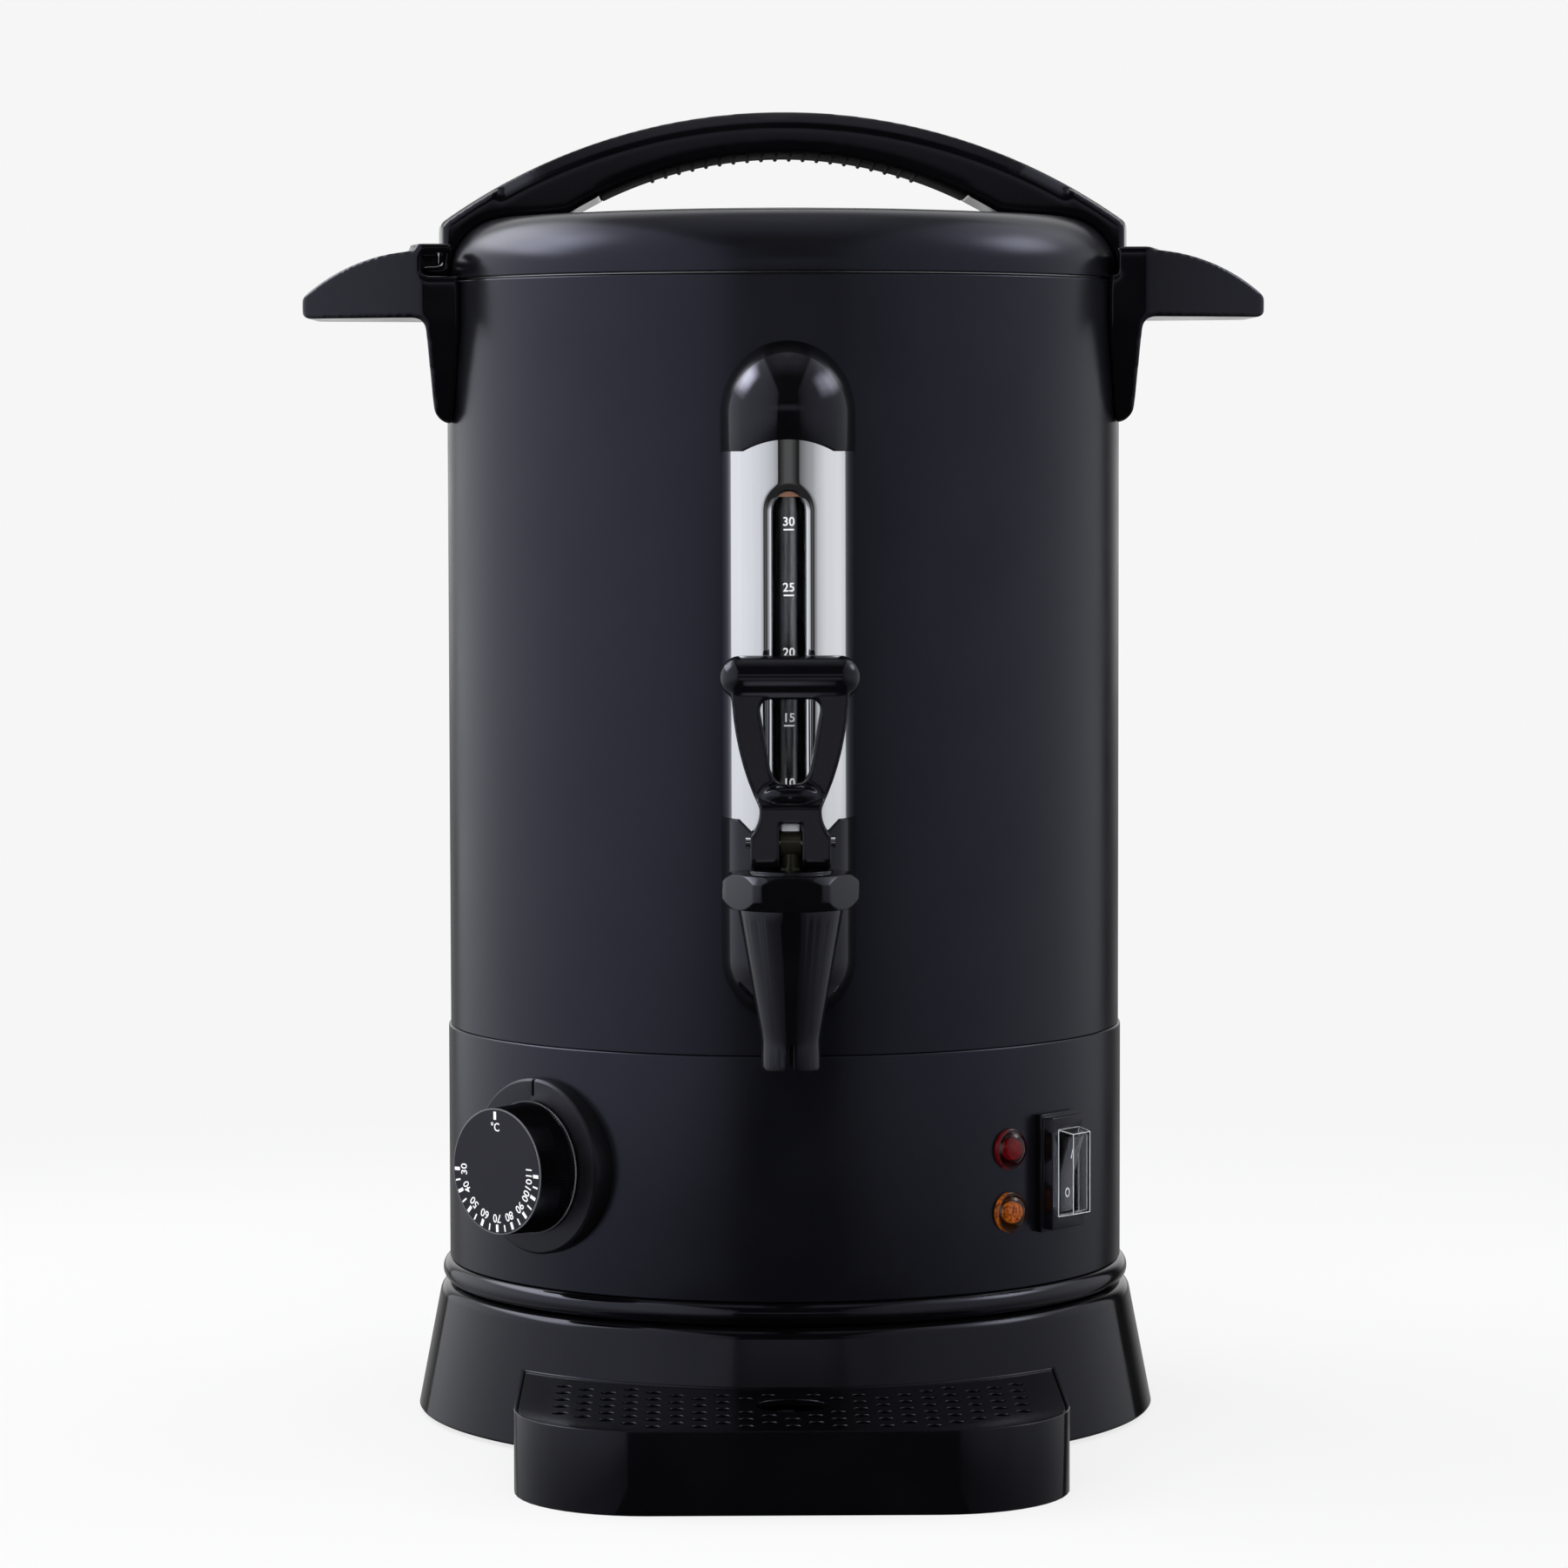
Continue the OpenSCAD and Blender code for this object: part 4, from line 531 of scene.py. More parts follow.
def addBump(tree, shader, height, strength, distance, edge=0):
    bump = tree.nodes.new("ShaderNodeBump")
    if edge:
        rounding = tree.nodes.new("ShaderNodeBevel")
        rounding.samples = bevelSamples
        rounding.inputs["Radius"].default_value = edge * mm
        tree.links.new(rounding.outputs[0], bump.inputs["Normal"])
    bump.inputs["Strength"].default_value = strength
    bump.inputs["Distance"].default_value = distance * mm
    tree.links.new(height, bump.inputs["Height"])
    tree.links.new(bump.outputs[0], shader.inputs["Normal"])


def moulded(name, v):  # paint, plastic and rubber
    material, tree, shader = newMaterial(name, v.get("sockets", {}))
    surface = addGroup(tree, grain, {
        "Dark": (*v["dark"], 1), "Pale": (*v["pale"], 1), "Cloud": v["cloud"], "Fine": v["fine"],
        "Rough Low": v["rough"][0], "Rough High": v["rough"][1]})
    tree.links.new(surface.outputs["Color"], shader.inputs["Base Color"])
    # a surface with an emission strength glows in its own colour: the painted glow of the lamp cores
    if "Emission Strength" in v.get("sockets", {}):
        tree.links.new(surface.outputs["Color"], shader.inputs["Emission Color"])
    tree.links.new(surface.outputs["Roughness"], shader.inputs["Roughness"])
    addBump(tree, shader, surface.outputs["Height"], v["bump"], v["deep"], v.get("edge", 0))
    return material


def drawnMetal(name, v):  # bare steel and zinc
    material, tree, shader = newMaterial(name, {"Metallic": 1})
    lines = addGroup(tree, drawLines, {"Across": v["across"], "Along": v["along"], "Rough Low": v["rough"][0],
                                       "Rough High": v["rough"][1]})
    blend, colours, mixed = mixColours(tree)
    colours[0].default_value = (*v["dark"], 1)
    colours[1].default_value = (*v["pale"], 1)
    tree.links.new(lines.outputs["Mask"], blend)
    tree.links.new(mixed, shader.inputs["Base Color"])
    tree.links.new(lines.outputs["Roughness"], shader.inputs["Roughness"])
    addBump(tree, shader, lines.outputs["Height"], v["bump"], v["deep"])
    return material


# finishes

paint = {"Specular IOR Level": 0.5, "Specular Tint": (0.71, 0.735, 1.0, 1)}
plastic = {"Specular IOR Level": 0.5, "Specular Tint": (0.8, 0.8, 1.0, 1)}
mouldedValues = {
    "black_steel": {"dark": (0.0026, 0.0026, 0.0036), "pale": (0.0038, 0.0038, 0.005), "cloud": 30,
                    "fine": 2200, "rough": (0.2, 0.27), "bump": 0.14, "deep": 0.02, "sockets": paint},
    "black_gloss": {"dark": (0.0013, 0.0013, 0.0016), "pale": (0.002, 0.002, 0.0024), "cloud": 45,
                    "fine": 700, "rough": (0.06, 0.12), "bump": 0.04, "deep": 0.015, "edge": 0.6,
                    "sockets": plastic},
    "black_satin": {"dark": (0.003, 0.003, 0.0034), "pale": (0.005, 0.005, 0.0056), "cloud": 60, "fine": 3800,
                    "rough": (0.32, 0.42), "bump": 0.25, "deep": 0.03, "sockets": plastic},
    "black_matte": {"dark": (0.006, 0.006, 0.0065), "pale": (0.011, 0.011, 0.0115), "cloud": 80, "fine": 3000,
                    "rough": (0.5, 0.62), "bump": 0.35, "deep": 0.04},
    "cream_plastic": {"dark": (0.52, 0.49, 0.41), "pale": (0.62, 0.59, 0.51), "cloud": 70, "fine": 1800,
                      "rough": (0.38, 0.5), "bump": 0.15, "deep": 0.02},
    "stem_plastic": {"dark": (0.05, 0.048, 0.034), "pale": (0.075, 0.072, 0.052), "cloud": 120, "fine": 2200,
                     "rough": (0.16, 0.26), "bump": 0.1, "deep": 0.02, "sockets": {"Metallic": 0.8}},
    "foot_rubber": {"dark": (0.012, 0.012, 0.013), "pale": (0.022, 0.022, 0.023), "cloud": 90, "fine": 1600,
                    "rough": (0.72, 0.85), "bump": 0.4, "deep": 0.05},
    "grey_rubber": {"dark": (0.075, 0.075, 0.08), "pale": (0.11, 0.11, 0.116), "cloud": 70, "fine": 1500,
                    "rough": (0.55, 0.7), "bump": 0.3, "deep": 0.04},
    "brown_rubber": {"dark": (0.13, 0.055, 0.03), "pale": (0.2, 0.09, 0.05), "cloud": 160, "fine": 1800,
                     "rough": (0.5, 0.65), "bump": 0.3, "deep": 0.03},
    "lens_red": {"dark": (0.15, 0.008, 0.015), "pale": (0.19, 0.011, 0.019), "cloud": 200, "fine": 900,
                 "rough": (0.02, 0.06), "bump": 0.03, "deep": 0.01,
                 "sockets": {"Transmission Weight": 0.96, "IOR": 1.49}},
    "lens_amber": {"dark": (0.29, 0.075, 0.012), "pale": (0.35, 0.1, 0.016), "cloud": 200, "fine": 900,
                   "rough": (0.02, 0.06), "bump": 0.03, "deep": 0.01,
                   "sockets": {"Transmission Weight": 0.97, "IOR": 1.49}},
    "clear_cover": {"dark": (0.95, 0.955, 0.965), "pale": (0.98, 0.985, 0.99), "cloud": 90, "fine": 600,
                    "rough": (0.0, 0.02), "bump": 0.01, "deep": 0.004,
                    "sockets": {"Transmission Weight": 1.0, "IOR": 1.1}},
    "gauge_glass": {"dark": (0.93, 0.95, 0.95), "pale": (0.97, 0.98, 0.98), "cloud": 40, "fine": 120,
                    "rough": (0.11, 0.15), "bump": 0.004, "deep": 0.004,
                    "sockets": {"Transmission Weight": 1.0, "IOR": 1.3}},
}
metalValues = {
    "vessel_steel": {"dark": (0.5, 0.5, 0.51), "pale": (0.62, 0.62, 0.63), "across": 14, "along": 1400,
                     "rough": (0.24, 0.36), "bump": 0.08, "deep": 0.02},
    "element_steel": {"dark": (0.22, 0.21, 0.2), "pale": (0.36, 0.34, 0.31), "across": 260, "along": 260,
                      "rough": (0.35, 0.5), "bump": 0.15, "deep": 0.03},
    "screw_steel": {"dark": (0.55, 0.55, 0.56), "pale": (0.7, 0.7, 0.71), "across": 900, "along": 900,
                    "rough": (0.22, 0.34), "bump": 0.1, "deep": 0.02},
    "zinc": {"dark": (0.45, 0.46, 0.48), "pale": (0.6, 0.61, 0.63), "across": 60, "along": 60,
             "rough": (0.36, 0.5), "bump": 0.12, "deep": 0.03},
    "polished_steel": {"dark": (0.72, 0.73, 0.75), "pale": (0.81, 0.82, 0.84), "across": 900, "along": 10,
                       "rough": (0.025, 0.05), "bump": 0.008, "deep": 0.01},
}
specialValues = {
    "black_soft": {**mouldedValues["black_gloss"], "edge": 0},
    "base_gloss": {**mouldedValues["black_gloss"], "sockets": {**plastic, "Specular IOR Level": 0.37}},
    # near white and only a little clear: painted highlights along the clear cover's edges
    "clear_edge_painted_highlight": {"dark": (0.86, 0.87, 0.89), "pale": (0.95, 0.96, 0.97), "cloud": 300, "fine": 900,
                   "rough": (0.1, 0.2), "bump": 0.03, "deep": 0.01,
                   "sockets": {"Transmission Weight": 0.25, "IOR": 1.46}},
    # pale grey: painted highlight where the stem's metal head catches light
    "clip_painted_highlight": {"dark": (0.74, 0.76, 0.78), "pale": (0.84, 0.86, 0.88), "cloud": 200, "fine": 1800,
                   "rough": (0.3, 0.4), "bump": 0.1, "deep": 0.02},
    "grip_rubber": {**mouldedValues["black_matte"], "dark": (0.003, 0.003, 0.0034),
                    "pale": (0.005, 0.005, 0.0054), "sockets": {"Specular IOR Level": 0.06}},
    # mid grey on black plastic: painted highlights of the knob's fine knurl
    "knurl_painted_highlight": {**mouldedValues["black_gloss"], "dark": (0.09, 0.09, 0.1), "pale": (0.16, 0.16, 0.17),
                   "edge": 0},
    "white_ink": {"dark": (0.8, 0.8, 0.8), "pale": (0.9, 0.9, 0.9), "cloud": 900, "fine": 2600,
                  "rough": (0.45, 0.6), "bump": 0.1, "deep": 0.01},
}
finish = {name: moulded(name, v) for name, v in {**mouldedValues, **specialValues}.items()}
finish.update({name: drawnMetal(name, v) for name, v in metalValues.items()})
for name, node in nodes.items():
    node.data.materials.clear()
    node.data.materials.append(finish[slotOf[name]])
print("finishes made:", len(finish))


def dressCopy(piece, name, node, material=None):
    return dress(piece, name, bodyOf[node], slotOf[node], material or finish[slotOf[node]], node)


# shells of the body

jacketValues = {"radius": 112.5, "sheet": 1.2, "low": 130.7, "high": 378.6, "curl": 107.0, "round": 0.6,
                "lip": 0.3}


def makeJacket(v):
    inner = v["radius"] - v["sheet"]
    top = arcPoints((v["radius"] - v["round"], v["high"] - v["round"]), v["round"], 0, 90, 5)
    profile = [(inner, v["low"]), (v["radius"] - v["lip"], v["low"])]
    profile += [(v["radius"], v["low"] + v["lip"])] + top
    profile += [(v["curl"], v["high"]), (v["curl"], v["high"] - v["sheet"]), (inner, v["high"] - v["sheet"])]
    dressCopy(lathe(profile + profile[:1]), "jacketShell", "outer_jacket")


housingValues = {"radius": 113.2, "sheet": 1.2, "low": 52.0, "high": 130.7, "flange": 104.2, "round": 0.7,
                 "lip": 0.4}


def makeHousing(v):
    inner = v["radius"] - v["sheet"]
    low = arcPoints((v["radius"] - v["lip"], v["low"] + v["lip"]), v["lip"], -90, 0, 4)
    high = arcPoints((v["radius"] - v["round"], v["high"] - v["round"]), v["round"], 0, 90, 6)
    profile = [(v["flange"], v["low"])] + low + high + [
        (v["flange"], v["high"]), (v["flange"], v["high"] - v["sheet"]), (inner, v["high"] - v["sheet"]),
        (inner, v["low"] + v["sheet"]), (v["flange"], v["low"] + v["sheet"])]
    dressCopy(lathe(profile + profile[:1]), "housingShell", "control_housing")


beadValues = {"centre": (111.5, 48.0), "radius": 4.0, "inner": 104.2}


def makeBead(v):
    (r, z), b = v["centre"], v["radius"]
    profile = [(v["inner"], z - b)] + arcPoints((r, z), b, -90, 90, 20) + [(v["inner"], z + b)]
    dressCopy(lathe(profile + profile[:1]), "beadRing", "bead_ring")


skirtValues = {"low": (123.9, 1.5), "high": (116.5, 44.0), "edge": 4.5, "wall": 2.5, "inner": 104.2,
               "lip": (0.5, 0.1, 0.6)}


def makeSkirt(v):
    (r0, z0), (r1, z1) = v["low"], v["high"]
    inset, lean, rise = v["lip"]
    edge = arcPoints((r1 - v["edge"], z1 - v["edge"]), v["edge"], 10, 90, 10)
    profile = [(r0 - v["wall"], z0), (r0 - inset, z0), (r0 - lean, z0 + rise)] + edge + [
        (v["inner"], z1), (v["inner"], z1 - v["wall"]), (r1 - v["wall"], z1 - v["wall"])]
    dressCopy(lathe(profile + profile[:1]), "baseSkirt", "base_skirt", finish["base_gloss"])


lidValues = {"radius": 112.5, "low": 379.3, "shoulder": 18.0, "shoulderZ": 381.5, "crown": 3.0, "sheet": 1.2,
             "ring": (104.0, 111.9, 381.9), "lip": 0.35, "crownSteps": 6, "crownStep": 0.15}


def makeLid(v):
    crownR = v["radius"] - v["shoulder"]
    topZ = v["shoulderZ"] + v["shoulder"]
    steps = [v["crownStep"] * i for i in range(v["crownSteps"], -1, -1)]

    def skin(t):
        edge = arcPoints((crownR, v["shoulderZ"]), v["shoulder"] - t, 0, 90, 14)
        return edge + [(crownR * q, topZ - t + v["crown"] * (1 - q * q)) for q in steps]
    outer = [(v["radius"] - v["lip"], v["low"]), (v["radius"], v["low"] + v["lip"])] + skin(0)
    inner = skin(v["sheet"])
    inner.reverse()
    profile = outer + inner + [(v["radius"] - v["sheet"], v["low"])]
    pan = lathe(profile + profile[:1])
    r0, r1, z = v["ring"]
    ring = lathe([(r0, z), (r1, z), (r1, z + v["sheet"]), (r0, z + v["sheet"]), (r0, z)])
    pan = joinPieces([pan, ring])
    smooth(pan, 35)
    dressCopy(pan, "lidPan", "lid_pan")


vesselValues = {"outer": 104.0, "sheet": 1.0, "floor": 145.7, "corner": 6.0, "rim": 379.6, "flange": 110.9,
                "lip": 1.5, "edge": 0.5}


def makeVessel(v):
    t = v["sheet"]
    inner = v["outer"] - t
    floorOut = arcPoints((v["outer"] - v["corner"], v["floor"] + v["corner"]), v["corner"], -90, 0, 8)
    floorIn = arcPoints((v["outer"] - v["corner"], v["floor"] + v["corner"]), v["corner"] - t, 0, -90, 8)
    lip = arcPoints((inner + v["lip"], v["rim"] - v["lip"]), v["lip"], 90, 180, 5)
    edge = arcPoints((v["flange"] - v["edge"], v["rim"] - v["edge"]), v["edge"], -90, 90, 6)
    profile = [(0, v["floor"])] + floorOut + [(v["outer"], v["rim"] - t)] + edge
    profile += lip + floorIn + [(0, v["floor"] + t)]
    dressCopy(lathe(profile), "innerVessel", "vessel")


makeJacket(jacketValues)
makeHousing(housingValues)
makeBead(beadValues)
makeSkirt(skirtValues)
makeLid(lidValues)
makeVessel(vesselValues)
print("shells made")


# sight tube

tubeValues = {"axisY": -120.7, "radius": 5.2, "wall": 1.2, "round": 0.3, "steps": 96}


def makeTube(v):
    heights = [corner[2] / mm for corner in nodes["gauge_tube"].bound_box]
    low, high = min(heights), max(heights)
    inner = v["radius"] - v["wall"]
    top = arcPoints((v["radius"] - v["round"], high - v["round"]), v["round"], 0, 90, 4)
    profile = [(inner, low), (v["radius"], low)] + top + [(inner, high)]
    piece = placed(lathe(profile + profile[:1], v["steps"]), Matrix.Translation((0, v["axisY"] * mm, 0)))
    dressCopy(piece, "sightTube", "gauge_tube")


makeTube(tubeValues)
print("sight tube made")


# moulded pieces with their edges rounded

roundedValues = {
    "lid_handle_grip": {"name": "lidGrip", "width": 0.2, "segments": 2, "look": "grip_rubber"},
    "gauge_cap": {"name": "gaugeCap", "width": 0.5, "segments": 2},
    "gauge_cover": {"name": "gaugeCover", "width": 0.5, "segments": 2},
    "tap_body": {"name": "tapBody", "width": 0.5, "segments": 2},
    "tap_bonnet": {"name": "tapBonnet", "width": 0.5, "segments": 3},
    "knob_bezel": {"name": "knobBezel", "width": 0.3, "segments": 2},
    "switch_frame": {"name": "switchFrame", "width": 0.5, "segments": 3},
    "switch_rocker": {"name": "switchRocker", "width": 0.4, "segments": 3},
    "switch_cover": {"name": "switchCover", "width": 0.4, "segments": 3},
    "drip_tray": {"name": "dripTray", "width": 0.7, "segments": 3, "look": "base_gloss"},
    "lamp_red": {"name": "lampRed", "width": 0.15, "segments": 2},
    "lamp_amber": {"name": "lampAmber", "width": 0.15, "segments": 2},
}
capStretch = {"from": 340.0, "by": 1.11}


def stretchDome(piece, v):  # the cap's dome stands a little taller than a ball
    for vertex in piece.data.vertices:
        over = vertex.co.z - v["from"] * mm
        if over > 0:
            vertex.co.z += over * (v["by"] - 1)


def makeRounded(values):
    for node, v in values.items():
        piece = copyNode(node)
        if node == "gauge_cap":
            stretchDome(piece, capStretch)
        roundEdges(piece, v["width"], v["segments"])
        smooth(piece, 32)
        dressCopy(piece, v["name"], node, finish[v.get("look", slotOf[node])])


makeRounded(roundedValues)
print("moulded pieces made")


# thick handles and the tap's lever, softened all over

softValues = {
    "side_handle_left": {"name": "sideHandleLeft", "voxel": 0.8, "rounds": 9},
    "side_handle_right": {"name": "sideHandleRight", "voxel": 0.8, "rounds": 9},
    "lid_handle": {"name": "lidHandle", "voxel": 0.9, "rounds": 9},
    "tap_lever": {"name": "tapLever", "voxel": 0.5, "rounds": 20},
}
meltFactor = 0.5
leverBulge = {"half": (8.8, 4.2, 3.3), "forward": 4.8, "rise": 4.4, "neck": 10.8}


def addBulge(lever, v):  # round lip across the lever's neck, under the window
    pin = pinCentre()
    place = Vector((0, pin.y - v["forward"] * mm, pin.z + (v["neck"] + v["rise"]) * mm))
    deselect()
    bpy.ops.mesh.primitive_uv_sphere_add(segments=48, ring_count=24, radius=1, location=(0, 0, 0))
    lip = bpy.context.object
    placed(lip, Matrix.Translation(place) @ Matrix.Diagonal((*(h * mm for h in v["half"]), 1)))
    return joinPieces([lever, lip])


def soften(piece, voxel, rounds):
    blocks = piece.modifiers.new("blocks", "REMESH")
    blocks.mode = "VOXEL"
    blocks.voxel_size = voxel * mm
    applyModifier(piece, blocks)
    melt = piece.modifiers.new("melt", "SMOOTH")
    melt.factor = meltFactor
    melt.iterations = rounds
    applyModifier(piece, melt)


def makeSoft(values):
    for node, v in values.items():
        piece = copyNode(node)
        if node == "tap_lever":
            piece = addBulge(piece, leverBulge)
        soften(piece, v["voxel"], v["rounds"])
        smooth(piece, 60)
        dressCopy(piece, v["name"], node, finish["black_soft"])


makeSoft(softValues)
print("handles and lever softened")


# thermostat knob with a knurled side

knobValues = {"azimuth": -44.5, "height": 92.0, "base": 117.9, "front": 133.9, "baseR": 21.4, "faceR": 20.4,
              "dish": 19.6, "ribs": 140, "cut": 0.3, "lip": 0.3, "foot": 1.2, "step": (0.5, 1.8), "edge": 0.5}


def makeKnob(v):
    base, baseR, front, faceR = v["base"], v["baseR"], v["front"], v["faceR"]
    inset, rise = v["step"]
    profile = [(0, base), (baseR - v["lip"], base), (baseR, base + v["lip"]), (baseR, base + v["foot"]),
               (baseR - inset, base + rise), (faceR, front - v["edge"]), (faceR - v["edge"], front),
               (v["dish"], front), (0, front)]
    piece = lathe(profile, 2 * v["ribs"])
    for vertex in piece.data.vertices:  # every other line of the side is cut in
        radius = math.hypot(vertex.co.x, vertex.co.y)
        turn = round(math.atan2(vertex.co.y, vertex.co.x) * v["ribs"] / math.pi)
        if radius > (v["dish"] + v["cut"] / 3) * mm and turn % 2:
            share = 1 - v["cut"] * mm / radius
            vertex.co.x *= share
            vertex.co.y *= share
    placed(piece, wallFrame(v["azimuth"], v["height"]))
    smooth(piece, 20)
    dressCopy(piece, "thermostatKnob", "knob", finish["black_soft"])


rimValues = {"teeth": 140, "thick": 0.28, "rims": ((20.35, 133.55), (21.4, 118.9))}


def makeKnobRims(v, knob):  # serrated edges of the knob's face and foot, where the knurl ends, in mid grey as painted highlights of the knurl
    rims = []
    for radius, out in v["rims"]:
        t = v["thick"]
        rim = lathe([(radius - t, out - t), (radius, out - t), (radius + t / 2, out), (radius, out + t),
                     (radius - t, out + t), (radius - t, out - t)], 2 * v["teeth"])
        for vertex in rim.data.vertices:
            turn = round(math.atan2(vertex.co.y, vertex.co.x) * v["teeth"] / math.pi)
            if turn % 2:
                share = 1 - t * mm / math.hypot(vertex.co.x, vertex.co.y)
                vertex.co.x *= share
                vertex.co.y *= share
        rims.append(placed(rim, wallFrame(knob["azimuth"], knob["height"])))
    piece = joinPieces(rims)
    smooth(piece, 10)
    dress(piece, "knobRims", "knob", "black_gloss", finish["knurl_painted_highlight"])


makeKnob(knobValues)
makeKnobRims(rimValues, knobValues)
print("knob made")


# clip over the stem's head, pale as a painted highlight of the stem's metal head catching light

clipValues = {"size": (6.0, 4.4, 3.8), "rise": 4.3, "round": 0.9}


def makeClip(v):
    pin = pinCentre()
    deselect()
    bpy.ops.mesh.primitive_cube_add(size=1, location=(0, 0, 0))
    clip = bpy.context.object
    placed(clip, Matrix.Diagonal((*(side * mm for side in v["size"]), 1)))
    roundEdges(clip, v["round"], 5)
    placed(clip, Matrix.Translation((pin.x, pin.y, pin.z + v["rise"] * mm)))
    smooth(clip, 40)
    dress(clip, "stemClip", "tap_stem", "stem_plastic", finish["clip_painted_highlight"])


makeClip(clipValues)
print("stem clip made")


# whitish beads on the edges of the switch's clear cover, painted highlights where its clear edges catch light

switchPlace = {"azimuth": 50, "height": 88.7}
coverValues = {"foot": 119.0, "size": (11.4, 28.6, 5.4), "taper": 1.1, "edge": 0.42, "round": 0.1}


def makeCoverEdges(v, switch):
    wide, tall, deep = v["size"]
    deselect()
    bpy.ops.mesh.primitive_cube_add(size=1, location=(0, 0, 0))
    piece = bpy.context.object
    for vertex in piece.data.vertices:
        x, y, z = vertex.co
        lean = v["taper"] if z > 0 else 0
        vertex.co = ((x * (wide - 2 * lean)) * mm, (y * (tall - 2 * lean)) * mm, (z + 0.5) * deep * mm)
    beads = piece.modifiers.new("beads", "WIREFRAME")
    beads.thickness = v["edge"] * mm
    beads.offset = -1
    applyModifier(piece, beads)
    roundEdges(piece, v["round"], 2)
    placed(piece, wallFrame(switch["azimuth"], switch["height"], v["foot"]))
    smooth(piece, 50)
    dress(piece, "coverEdges", "urn", "clear_cover", finish["clear_edge_painted_highlight"])


makeCoverEdges(coverValues, switchPlace)
print("cover edges made")


# polished shield of the sight gauge, with the slot's rim rolled inwards

shieldValues = {"axisY": -108.5, "radius": 20.9, "sheet": 0.8, "low": 195.1, "high": 328.6, "edge": 83.9,
                "slotHalf": 5.8, "slotTop": 309.6, "rimWide": 3.6, "rimDeep": 2.4, "sideSteps": 30,
                "rimSteps": 10, "faceSteps": 9, "cornerSteps": 12, "archSteps": 24}


def shieldOutline(v):  # pairs of points, on the slot's edge and on the sheet's edge, unrolled
    reach = v["radius"] * math.radians(v["edge"])
    half = v["slotHalf"]
    archZ = v["slotTop"] - half
    corner = math.degrees(math.atan2(v["high"] - archZ, reach))
    side = [v["low"] + (archZ - v["low"]) * i / v["sideSteps"] for i in range(v["sideSteps"])]
    pairs = [((-half, z), (-reach, z)) for z in side]
    few, many = v["cornerSteps"], v["archSteps"]
    turns = [180 - corner * i / few for i in range(few)]
    turns += [180 - corner - (180 - 2 * corner) * i / many for i in range(many)]
    turns += [corner - corner * i / few for i in range(few)]
    for turn in turns:
        c, s = math.cos(math.radians(turn)), math.sin(math.radians(turn))
        far = min(reach / max(abs(c), 1e-6), (v["high"] - archZ) / max(s, 1e-6))
        pairs.append(((half * c, archZ + half * s), (far * c, archZ + far * s)))
    return pairs + [((half, z), (reach, z)) for z in [archZ] + side[::-1]]


def makeShield(v):
    pairs = shieldOutline(v)
    length = len(pairs) - 1
    across = v["rimSteps"] + v["faceSteps"]
    deselect()
    bpy.ops.mesh.primitive_grid_add(x_subdivisions=length, y_subdivisions=across, size=1, location=(0, 0, 0))
    piece = bpy.context.object
    for vertex in piece.data.vertices:
        i = round((vertex.co.x + 0.5) * length)
        j = round((vertex.co.y + 0.5) * across)
        near, far = Vector(pairs[i][0]), Vector(pairs[i][1])
        way = (far - near).normalized()
        turn = math.radians(90) * min(j / v["rimSteps"], 1)
        flat = near + way * v["rimWide"] * (1 - math.cos(turn))
        flat = flat.lerp(far, max(j - v["rimSteps"], 0) / v["faceSteps"])
        radius = v["radius"] - v["rimDeep"] * (1 - math.sin(turn))
        angle = flat.x / v["radius"]
        vertex.co = (radius * math.sin(angle) * mm, (v["axisY"] - radius * math.cos(angle)) * mm, flat.y * mm)
    cleanMesh(piece)
    outward = piece.data.polygons[0].normal.dot(Vector((piece.data.polygons[0].center.x, -1, 0)))
    if outward < 0:
        piece.data.flip_normals()
    sheet = piece.modifiers.new("sheet", "SOLIDIFY")
    sheet.thickness = v["sheet"] * mm
    sheet.offset = -1
    applyModifier(piece, sheet)
    smooth(piece, 40)
    dressCopy(piece, "gaugeShield", "gauge_shield")


makeShield(shieldValues)
print("gauge shield made")


# white marks

inkDepth = 0.03


def inkText(words, size, bold):
    deselect()
    bpy.ops.object.text_add(location=(0, 0, 0))
    text = bpy.context.object
    text.data.body = words
    text.data.size = size * mm
    text.data.align_x = "CENTER"
    text.data.align_y = "CENTER"
    text.data.extrude = inkDepth * mm
    text.data.offset = bold * mm
    text.data.resolution_u = 4
    bpy.ops.object.convert(target="MESH")
    return bpy.context.object


def inkBar(width, height):
    deselect()
    bpy.ops.mesh.primitive_cube_add(size=1, location=(0, 0, 0))
    return placed(bpy.context.object, Matrix.Diagonal((width * mm, height * mm, 2 * inkDepth * mm, 1)))


gaugeInk = {"radius": 5.24, "size": 3.9, "bold": 0.05, "rule": (3.3, 0.5), "drop": 2.4,
            "numbers": {"30": 300.5, "25": 279.9, "20": 259.5, "15": 239.0, "10": 218.5}}


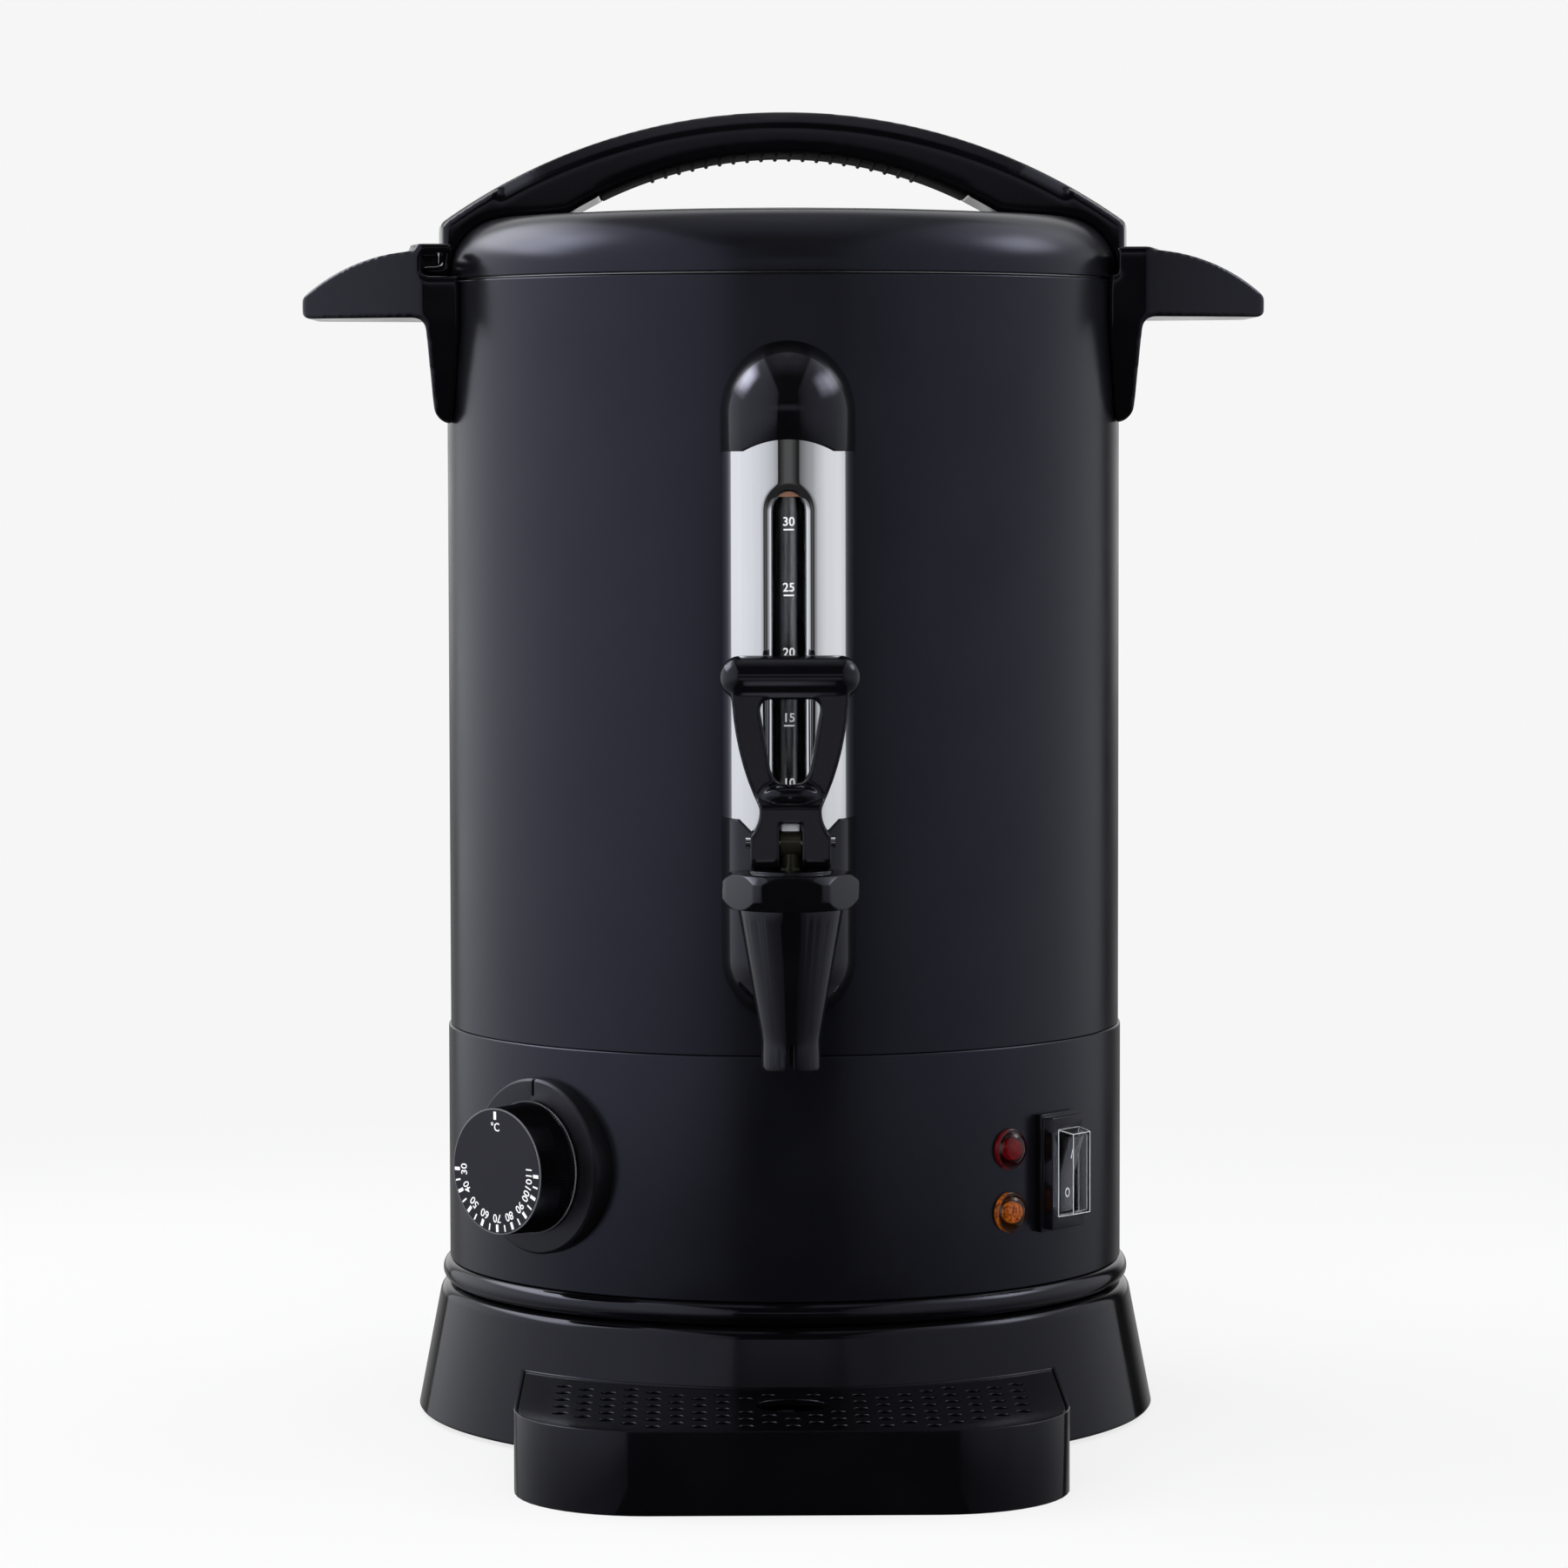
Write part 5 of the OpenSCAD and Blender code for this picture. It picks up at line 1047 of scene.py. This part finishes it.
def makeGaugeMarks(v, tube):
    marks = []
    for words, height in v["numbers"].items():
        marks.append(placed(inkText(words, v["size"], v["bold"]), Matrix.Translation((0, height * mm, 0))))
        marks.append(placed(inkBar(*v["rule"]), Matrix.Translation((0, (height - v["drop"]) * mm, 0))))
    piece = joinPieces(marks)
    activate(piece)
    bpy.ops.object.mode_set(mode="EDIT")
    bpy.ops.mesh.select_all(action="SELECT")
    bpy.ops.mesh.remove_doubles(threshold=1e-7)
    bpy.ops.mesh.subdivide(number_cuts=3)
    bpy.ops.object.mode_set(mode="OBJECT")
    for vertex in piece.data.vertices:  # wrap the flat marks round the tube
        radius = v["radius"] * mm + vertex.co.z
        angle = vertex.co.x / (v["radius"] * mm)
        vertex.co = (radius * math.sin(angle), tube["axisY"] * mm - radius * math.cos(angle), vertex.co.y)
    piece.visible_transmission = False  # marks aren't seen a second time in the glass that they lie on
    piece.visible_glossy = False
    dress(piece, "gaugeMarks", "urn", "gauge_glass", finish["white_ink"])


dialInk = {"first": 92, "step": 22.25, "numbers": range(30, 111, 10), "textR": 15.0, "size": 3.8,
           "bold": 0.03, "long": (17.1, 19.5, 1.1), "short": (17.3, 19.5, 0.55), "degree": 14.2,
           "pointer": (1.2, 2.6, 18.0, 1.7)}


def makeDial(v, knob):
    place = wallFrame(knob["azimuth"], knob["height"], knob["front"] + inkDepth)
    marks = []
    for i, number in enumerate(v["numbers"]):
        turn = Matrix.Rotation(math.radians(v["first"] + v["step"] * i), 4, "Z")
        move = Matrix.Translation((0, v["textR"] * mm, 0))
        marks.append(placed(inkText(str(number), v["size"], v["bold"]), place @ turn @ move))
    for i in range(2 * len(v["numbers"]) - 1):
        near, far, wide = v["short"] if i % 2 else v["long"]
        turn = Matrix.Rotation(math.radians(v["first"] + v["step"] / 2 * i), 4, "Z")
        move = Matrix.Translation((0, (near + far) / 2 * mm, 0))
        marks.append(placed(inkBar(wide, far - near), place @ turn @ move))
    wide, tall, out, lean = v["pointer"]
    top = place @ Matrix.Rotation(math.radians(lean), 4, "Z")
    marks.append(placed(inkBar(wide, tall), top @ Matrix.Translation((0, out * mm, 0))))
    move = Matrix.Translation((0, v["degree"] * mm, 0))
    marks.append(placed(inkText("°C", v["size"], v["bold"]), top @ move))
    dress(joinPieces(marks), "dialMarks", "knob", "black_gloss", finish["white_ink"])


rockerInk = {"axle": 116.5, "tilt": 8, "valley": 2.2, "at": 6.4, "stroke": (0.45, 3.0), "ring": (1.2, 0.2),
             "squash": (0.85, 1.1, 0.2)}


def makeRockerMarks(v, switch):
    place = wallFrame(switch["azimuth"], switch["height"], v["axle"])
    place = place @ Matrix.Rotation(math.radians(v["tilt"]), 4, "X")
    lift = (v["valley"] + v["at"] * math.tan(math.radians(v["tilt"])) + inkDepth) * mm
    faces = []
    for side in (1, -1):
        tilt = Matrix.Rotation(math.radians(v["tilt"] * side), 4, "X")
        faces.append(place @ Matrix.Translation((0, side * v["at"] * mm, lift)) @ tilt)
    stroke = placed(inkBar(*v["stroke"]), faces[0])
    deselect()
    wide, thick = v["ring"]
    bpy.ops.mesh.primitive_torus_add(major_radius=wide * mm, minor_radius=thick * mm, major_segments=40,
                                     minor_segments=8)
    ring = placed(bpy.context.object, faces[1] @ Matrix.Diagonal((*v["squash"], 1)))
    dress(joinPieces([stroke, ring]), "rockerMarks", "switch_rocker", "black_gloss", finish["white_ink"])


makeGaugeMarks(gaugeInk, tubeValues)
makeDial(dialInk, knobValues)
makeRockerMarks(rockerInk, switchPlace)
print("marks made")


# cores behind the lamps' lenses, with a painted glow for the light that the lenses keep from them

coreValues = {"azimuth": 39, "front": 115.6, "radius": 2.9, "deep": 2.5, "round": 0.4}
coreLooks = {
    "lampCoreRed": {"height": 97.75, "slot": "lens_red", "glow": 0.25, "dark": (0.34, 0.01, 0.025),
                    "pale": (0.5, 0.02, 0.04), "cloud": 500},
    "lampCoreAmber": {"height": 77.25, "slot": "lens_amber", "glow": 0.42, "dark": (0.16, 0.04, 0.006),
                      "pale": (1.0, 0.56, 0.13), "cloud": 1100},
}
coreSurface = {"fine": 1500, "rough": (0.3, 0.5), "bump": 0.6, "deep": 0.2}


def makeCores(v, looks):
    for name, lamp in looks.items():
        deselect()
        bpy.ops.mesh.primitive_circle_add(vertices=32, radius=v["radius"] * mm, fill_type="NGON",
                                          location=(0, 0, 0))
        core = bpy.context.object
        bpy.ops.object.mode_set(mode="EDIT")
        bpy.ops.mesh.select_all(action="SELECT")
        bpy.ops.mesh.extrude_region_move(TRANSFORM_OT_translate={"value": (0, 0, -v["deep"] * mm)})
        bpy.ops.object.mode_set(mode="OBJECT")
        cleanMesh(core)
        roundEdges(core, v["round"], 2)
        placed(core, wallFrame(v["azimuth"], lamp["height"], v["front"]))
        smooth(core, 30)
        surface = {**coreSurface, **lamp, "sockets": {"Emission Strength": lamp["glow"]}}
        dress(core, name, "urn", lamp["slot"], moulded(name, surface))


makeCores(coreValues, coreLooks)
print("lamp cores made")

linkLamps(lampValues)
